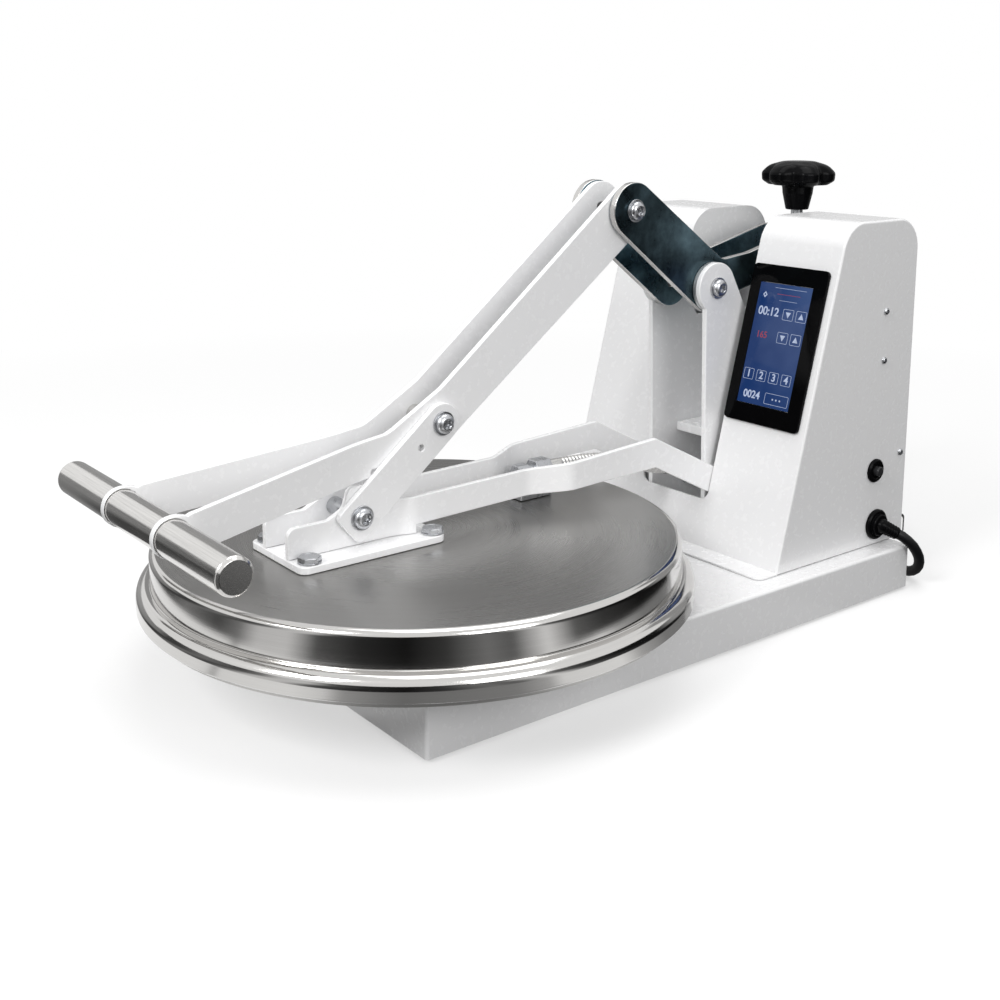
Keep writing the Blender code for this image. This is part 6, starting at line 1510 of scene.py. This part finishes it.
def build_stage():
    """Pale floor, soft lamps, the studio cards, the white surround and the camera."""
    look = bpy.context.scene.dough_press_stage
    scene = bpy.context.scene
    scene.view_settings.view_transform = "Standard"
    mesh = bpy.data.meshes.new("floor")
    reach = FLOOR_REACH
    corners = [(-reach, -reach, 0), (reach, -reach, 0), (reach, reach, 0), (-reach, reach, 0)]
    mesh.from_pydata(corners, [], [(0, 1, 2, 3)])
    mat = bpy.data.materials.new("pale_floor")
    mat.use_nodes = True
    tree = mat.node_tree
    tree.nodes.clear()
    place = node(tree, "ShaderNodeTexCoord").outputs["Object"]
    path = node(tree, "ShaderNodeLightPath").outputs
    away = node(tree, "ShaderNodeVectorMath", {0: place}, operation="LENGTH").outputs[1]
    whiteness = ranged(tree, away, look.whiteness, 1.0, *WHITE_REACH)
    white = node(tree, "ShaderNodeEmission", {"Color": (1, 1, 1, 1), "Strength": 1.0}).outputs[0]
    cloth = node(tree, "ShaderNodeBsdfDiffuse", {"Color": (*look.floor, 1)}).outputs[0]
    seen = node(tree, "ShaderNodeMixShader", {0: whiteness, 1: cloth, 2: white}).outputs[0]
    dull = node(tree, "ShaderNodeBsdfDiffuse", {"Color": (*dimmed(look.floor, look.bounce), 1)}).outputs[0]
    middle = (0, ORIGIN_Y - PLATEN_Y, 0)
    round_platen = node(tree, "ShaderNodeMapping", {"Vector": place, "Location": middle}).outputs[0]
    off = node(tree, "ShaderNodeVectorMath", {0: round_platen}, operation="LENGTH").outputs[1]
    close_by = ranged(tree, off, 1, 0, *NEAR_REACH)
    tones = node(tree, "ShaderNodeMix", {0: close_by, 6: studio_tones(tree, place),
                                         7: studio_tones(tree, place, NEAR_TONES)}, data_type="RGBA").outputs[2]
    mirrored = node(tree, "ShaderNodeEmission", {"Color": tones}).outputs[0]
    unseen = node(tree, "ShaderNodeMixShader", {0: path["Is Glossy Ray"], 1: dull, 2: mirrored}).outputs[0]
    blend = node(tree, "ShaderNodeMixShader", {0: path["Is Camera Ray"], 1: unseen, 2: seen})
    node(tree, "ShaderNodeOutputMaterial", {"Surface": blend.outputs[0]})
    mesh.materials.append(mat)
    floor = bpy.data.objects.new("pale_floor", mesh)
    scene.collection.objects.link(floor)

    world = bpy.data.worlds.new("white_studio")
    scene.world = world
    world.use_nodes = True
    tree = world.node_tree
    tree.nodes.clear()
    soft = node(tree, "ShaderNodeBackground", {"Color": (1, 1, 1, 1), "Strength": look.ambient})
    plain = node(tree, "ShaderNodeBackground", {"Color": (1, 1, 1, 1), "Strength": 1.0})
    path = node(tree, "ShaderNodeLightPath").outputs
    seen = maths(tree, "MAXIMUM", path["Is Camera Ray"], path["Is Glossy Ray"])
    seen = maths(tree, "MAXIMUM", seen, path["Is Transmission Ray"])
    blend = node(tree, "ShaderNodeMixShader", {0: seen, 1: soft.outputs[0], 2: plain.outputs[0]})
    node(tree, "ShaderNodeOutputWorld", {"Surface": blend.outputs[0]})

    for name, place, target, size in LAMPS:
        lamp(f"{name}_lamp", place, target, size, getattr(look, f"{name}_power"))
    for card in CARDS:
        surround_card(*card)

    data = bpy.data.cameras.new("photo_camera")
    data.sensor_width = SENSOR
    data.lens = LENS
    data.shift_y = SHIFT
    data.clip_start = 0.05
    data.clip_end = 60
    camera = bpy.data.objects.new("photo_camera", data)
    level = math.cos(CAMERA_PITCH)
    forward = Vector((-level * math.sin(CAMERA_YAW), level * math.cos(CAMERA_YAW), -math.sin(CAMERA_PITCH)))
    camera.location = CAMERA_PLACE
    camera.rotation_euler = forward.to_track_quat("-Z", "Y").to_euler()
    scene.collection.objects.link(camera)
    scene.camera = camera


# Settings, operators and panel

class DoughPressSizes(bpy.types.PropertyGroup):
    """Sizes a user may change."""
    knob_lobes: IntProperty(name="Knob lobes", description="Number of lobes on the knob", default=6, min=3, max=12)
    knob_lobe_depth: FloatProperty(name="Knob lobe depth", description="How deep the knob's hollows are",
                                   default=0.2, min=0.0, max=0.4, subtype="FACTOR")


class DoughPressColours(bpy.types.PropertyGroup):
    """Colours a user may change."""
    paint: FloatVectorProperty(name="Powder coat", description="Colour of the coated sheet and bars",
                               default=(0.82, 0.82, 0.825), subtype="COLOR", min=0, max=1)
    steel: FloatVectorProperty(name="Stainless steel", description="Colour of the shroud and the grip",
                               default=(0.64, 0.63, 0.615), subtype="COLOR", min=0, max=1)
    zinc: FloatVectorProperty(name="Zinc plate", description="Colour of the bolts and fittings",
                              default=(0.55, 0.56, 0.58), subtype="COLOR", min=0, max=1)
    lever: FloatVectorProperty(name="Lever plates", description="Colour of the dark lever plates",
                               default=(0.080, 0.125, 0.148), subtype="COLOR", min=0, max=1)
    plastic: FloatVectorProperty(name="Black plastic", description="Colour of the knob, gland, breaker and cord",
                                 default=(0.0035, 0.0035, 0.004), subtype="COLOR", min=0, max=1)


class DoughPressStage(bpy.types.PropertyGroup):
    """The studio's settings."""
    floor: FloatVectorProperty(name="Floor", description="Colour of the floor", default=(0.92, 0.92, 0.92),
                               subtype="COLOR", min=0, max=1)
    whiteness: FloatProperty(name="Whiteness", description="How far the near floor is seen as plain white",
                             default=0.5, min=0, max=1, subtype="FACTOR")
    bounce: FloatProperty(name="Bounce", description="Share of the floor's light that reaches the press",
                          default=0.15, min=0, max=1, subtype="FACTOR")
    ambient: FloatProperty(name="Surround", description="Strength of the even light all round", default=0.58, min=0)
    key_power: FloatProperty(name="Key lamp", description="Power of the lamp at the front left", default=48.0,
                             min=0, unit="POWER")
    top_power: FloatProperty(name="Top lamp", description="Power of the lamp overhead", default=20.0, min=0,
                             unit="POWER")
    side_power: FloatProperty(name="Side lamp", description="Power of the lamp at the right", default=18.0, min=0,
                              unit="POWER")


class DoughPressOperator:
    """Shared running of one group of pieces."""
    bl_options = {"REGISTER"}

    def execute(self, context):
        self.build()
        return {"FINISHED"}


def group_operator(name, label, words, build):
    """The operator that makes one group."""
    return type(f"DOUGHPRESS_OT_{name}", (DoughPressOperator, bpy.types.Operator), {
        "__doc__": words, "bl_idname": f"dough_press.{name}", "bl_label": label, "build": staticmethod(build)})


OPERATORS = tuple(group_operator(*row) for row in (
    ("stage", "Stage", "Set the floor, lamps, cards and camera", build_stage),
    ("cord", "Mains cord", "Make the mains cord, its coil, tie and plug", build_cord),
    ("base", "Base", "Make the base cover and the fixed platen", build_base),
    ("platens", "Shroud and platen", "Make the spun shroud and the moving platen", build_platens),
    ("bracket", "Bracket", "Make the bracket, its arms and its bolts", build_bracket),
    ("links", "Links", "Make the short links and their bolts", build_links),
    ("handle", "Handle", "Make the handle bars, the grip and the spacer", build_handle),
    ("lever", "Adjusting lever", "Make the adjusting lever's plates and bolts", build_lever),
    ("uprights", "Uprights", "Make the uprights, their bosses and bolts, and the tie", build_uprights),
    ("tower", "Tower", "Make the tower cover and its back", build_tower),
    ("touch_panel", "Touch panel", "Make the touch panel and its display", build_panel),
    ("fittings", "Side fittings", "Make the breaker, the gland and the side screws", build_side_fittings),
    ("conduit", "Conduit", "Make the conduit fitting and its hose", build_conduit),
    ("knob", "Knob", "Make the lobed knob", build_knob),
    ("carried", "Inner pieces", "Give the solids that stay their finishes", dress_carried_nodes),
))


class DOUGHPRESS_PT_panel(bpy.types.Panel):
    """Lists the press's settings and makers"""
    bl_idname = "DOUGHPRESS_PT_panel"
    bl_label = "Dough press"
    bl_space_type = "VIEW_3D"
    bl_region_type = "UI"
    bl_category = "Dough press"

    def draw(self, context):
        column = self.layout.column()
        for group in (context.scene.dough_press_sizes, context.scene.dough_press_colours,
                      context.scene.dough_press_stage):
            for key in group.bl_rna.properties.keys():
                if key not in ("rna_type", "name"):
                    column.prop(group, key)
        for operator in OPERATORS:
            column.operator(operator.bl_idname)


CLASSES = (DoughPressSizes, DoughPressColours, DoughPressStage, *OPERATORS, DOUGHPRESS_PT_panel)


def register():
    for item in CLASSES:
        bpy.utils.register_class(item)
    bpy.types.Scene.dough_press_sizes = PointerProperty(type=DoughPressSizes)
    bpy.types.Scene.dough_press_colours = PointerProperty(type=DoughPressColours)
    bpy.types.Scene.dough_press_stage = PointerProperty(type=DoughPressStage)


def unregister():
    del bpy.types.Scene.dough_press_stage
    del bpy.types.Scene.dough_press_colours
    del bpy.types.Scene.dough_press_sizes
    for item in reversed(CLASSES):
        bpy.utils.unregister_class(item)


def main():
    """Register the add-on, make every piece in order, and write the sizes."""
    register()
    for operator in OPERATORS:
        group, name = operator.bl_idname.split(".")
        getattr(getattr(bpy.ops, group), name)()


if __name__ == "__main__":
    main()
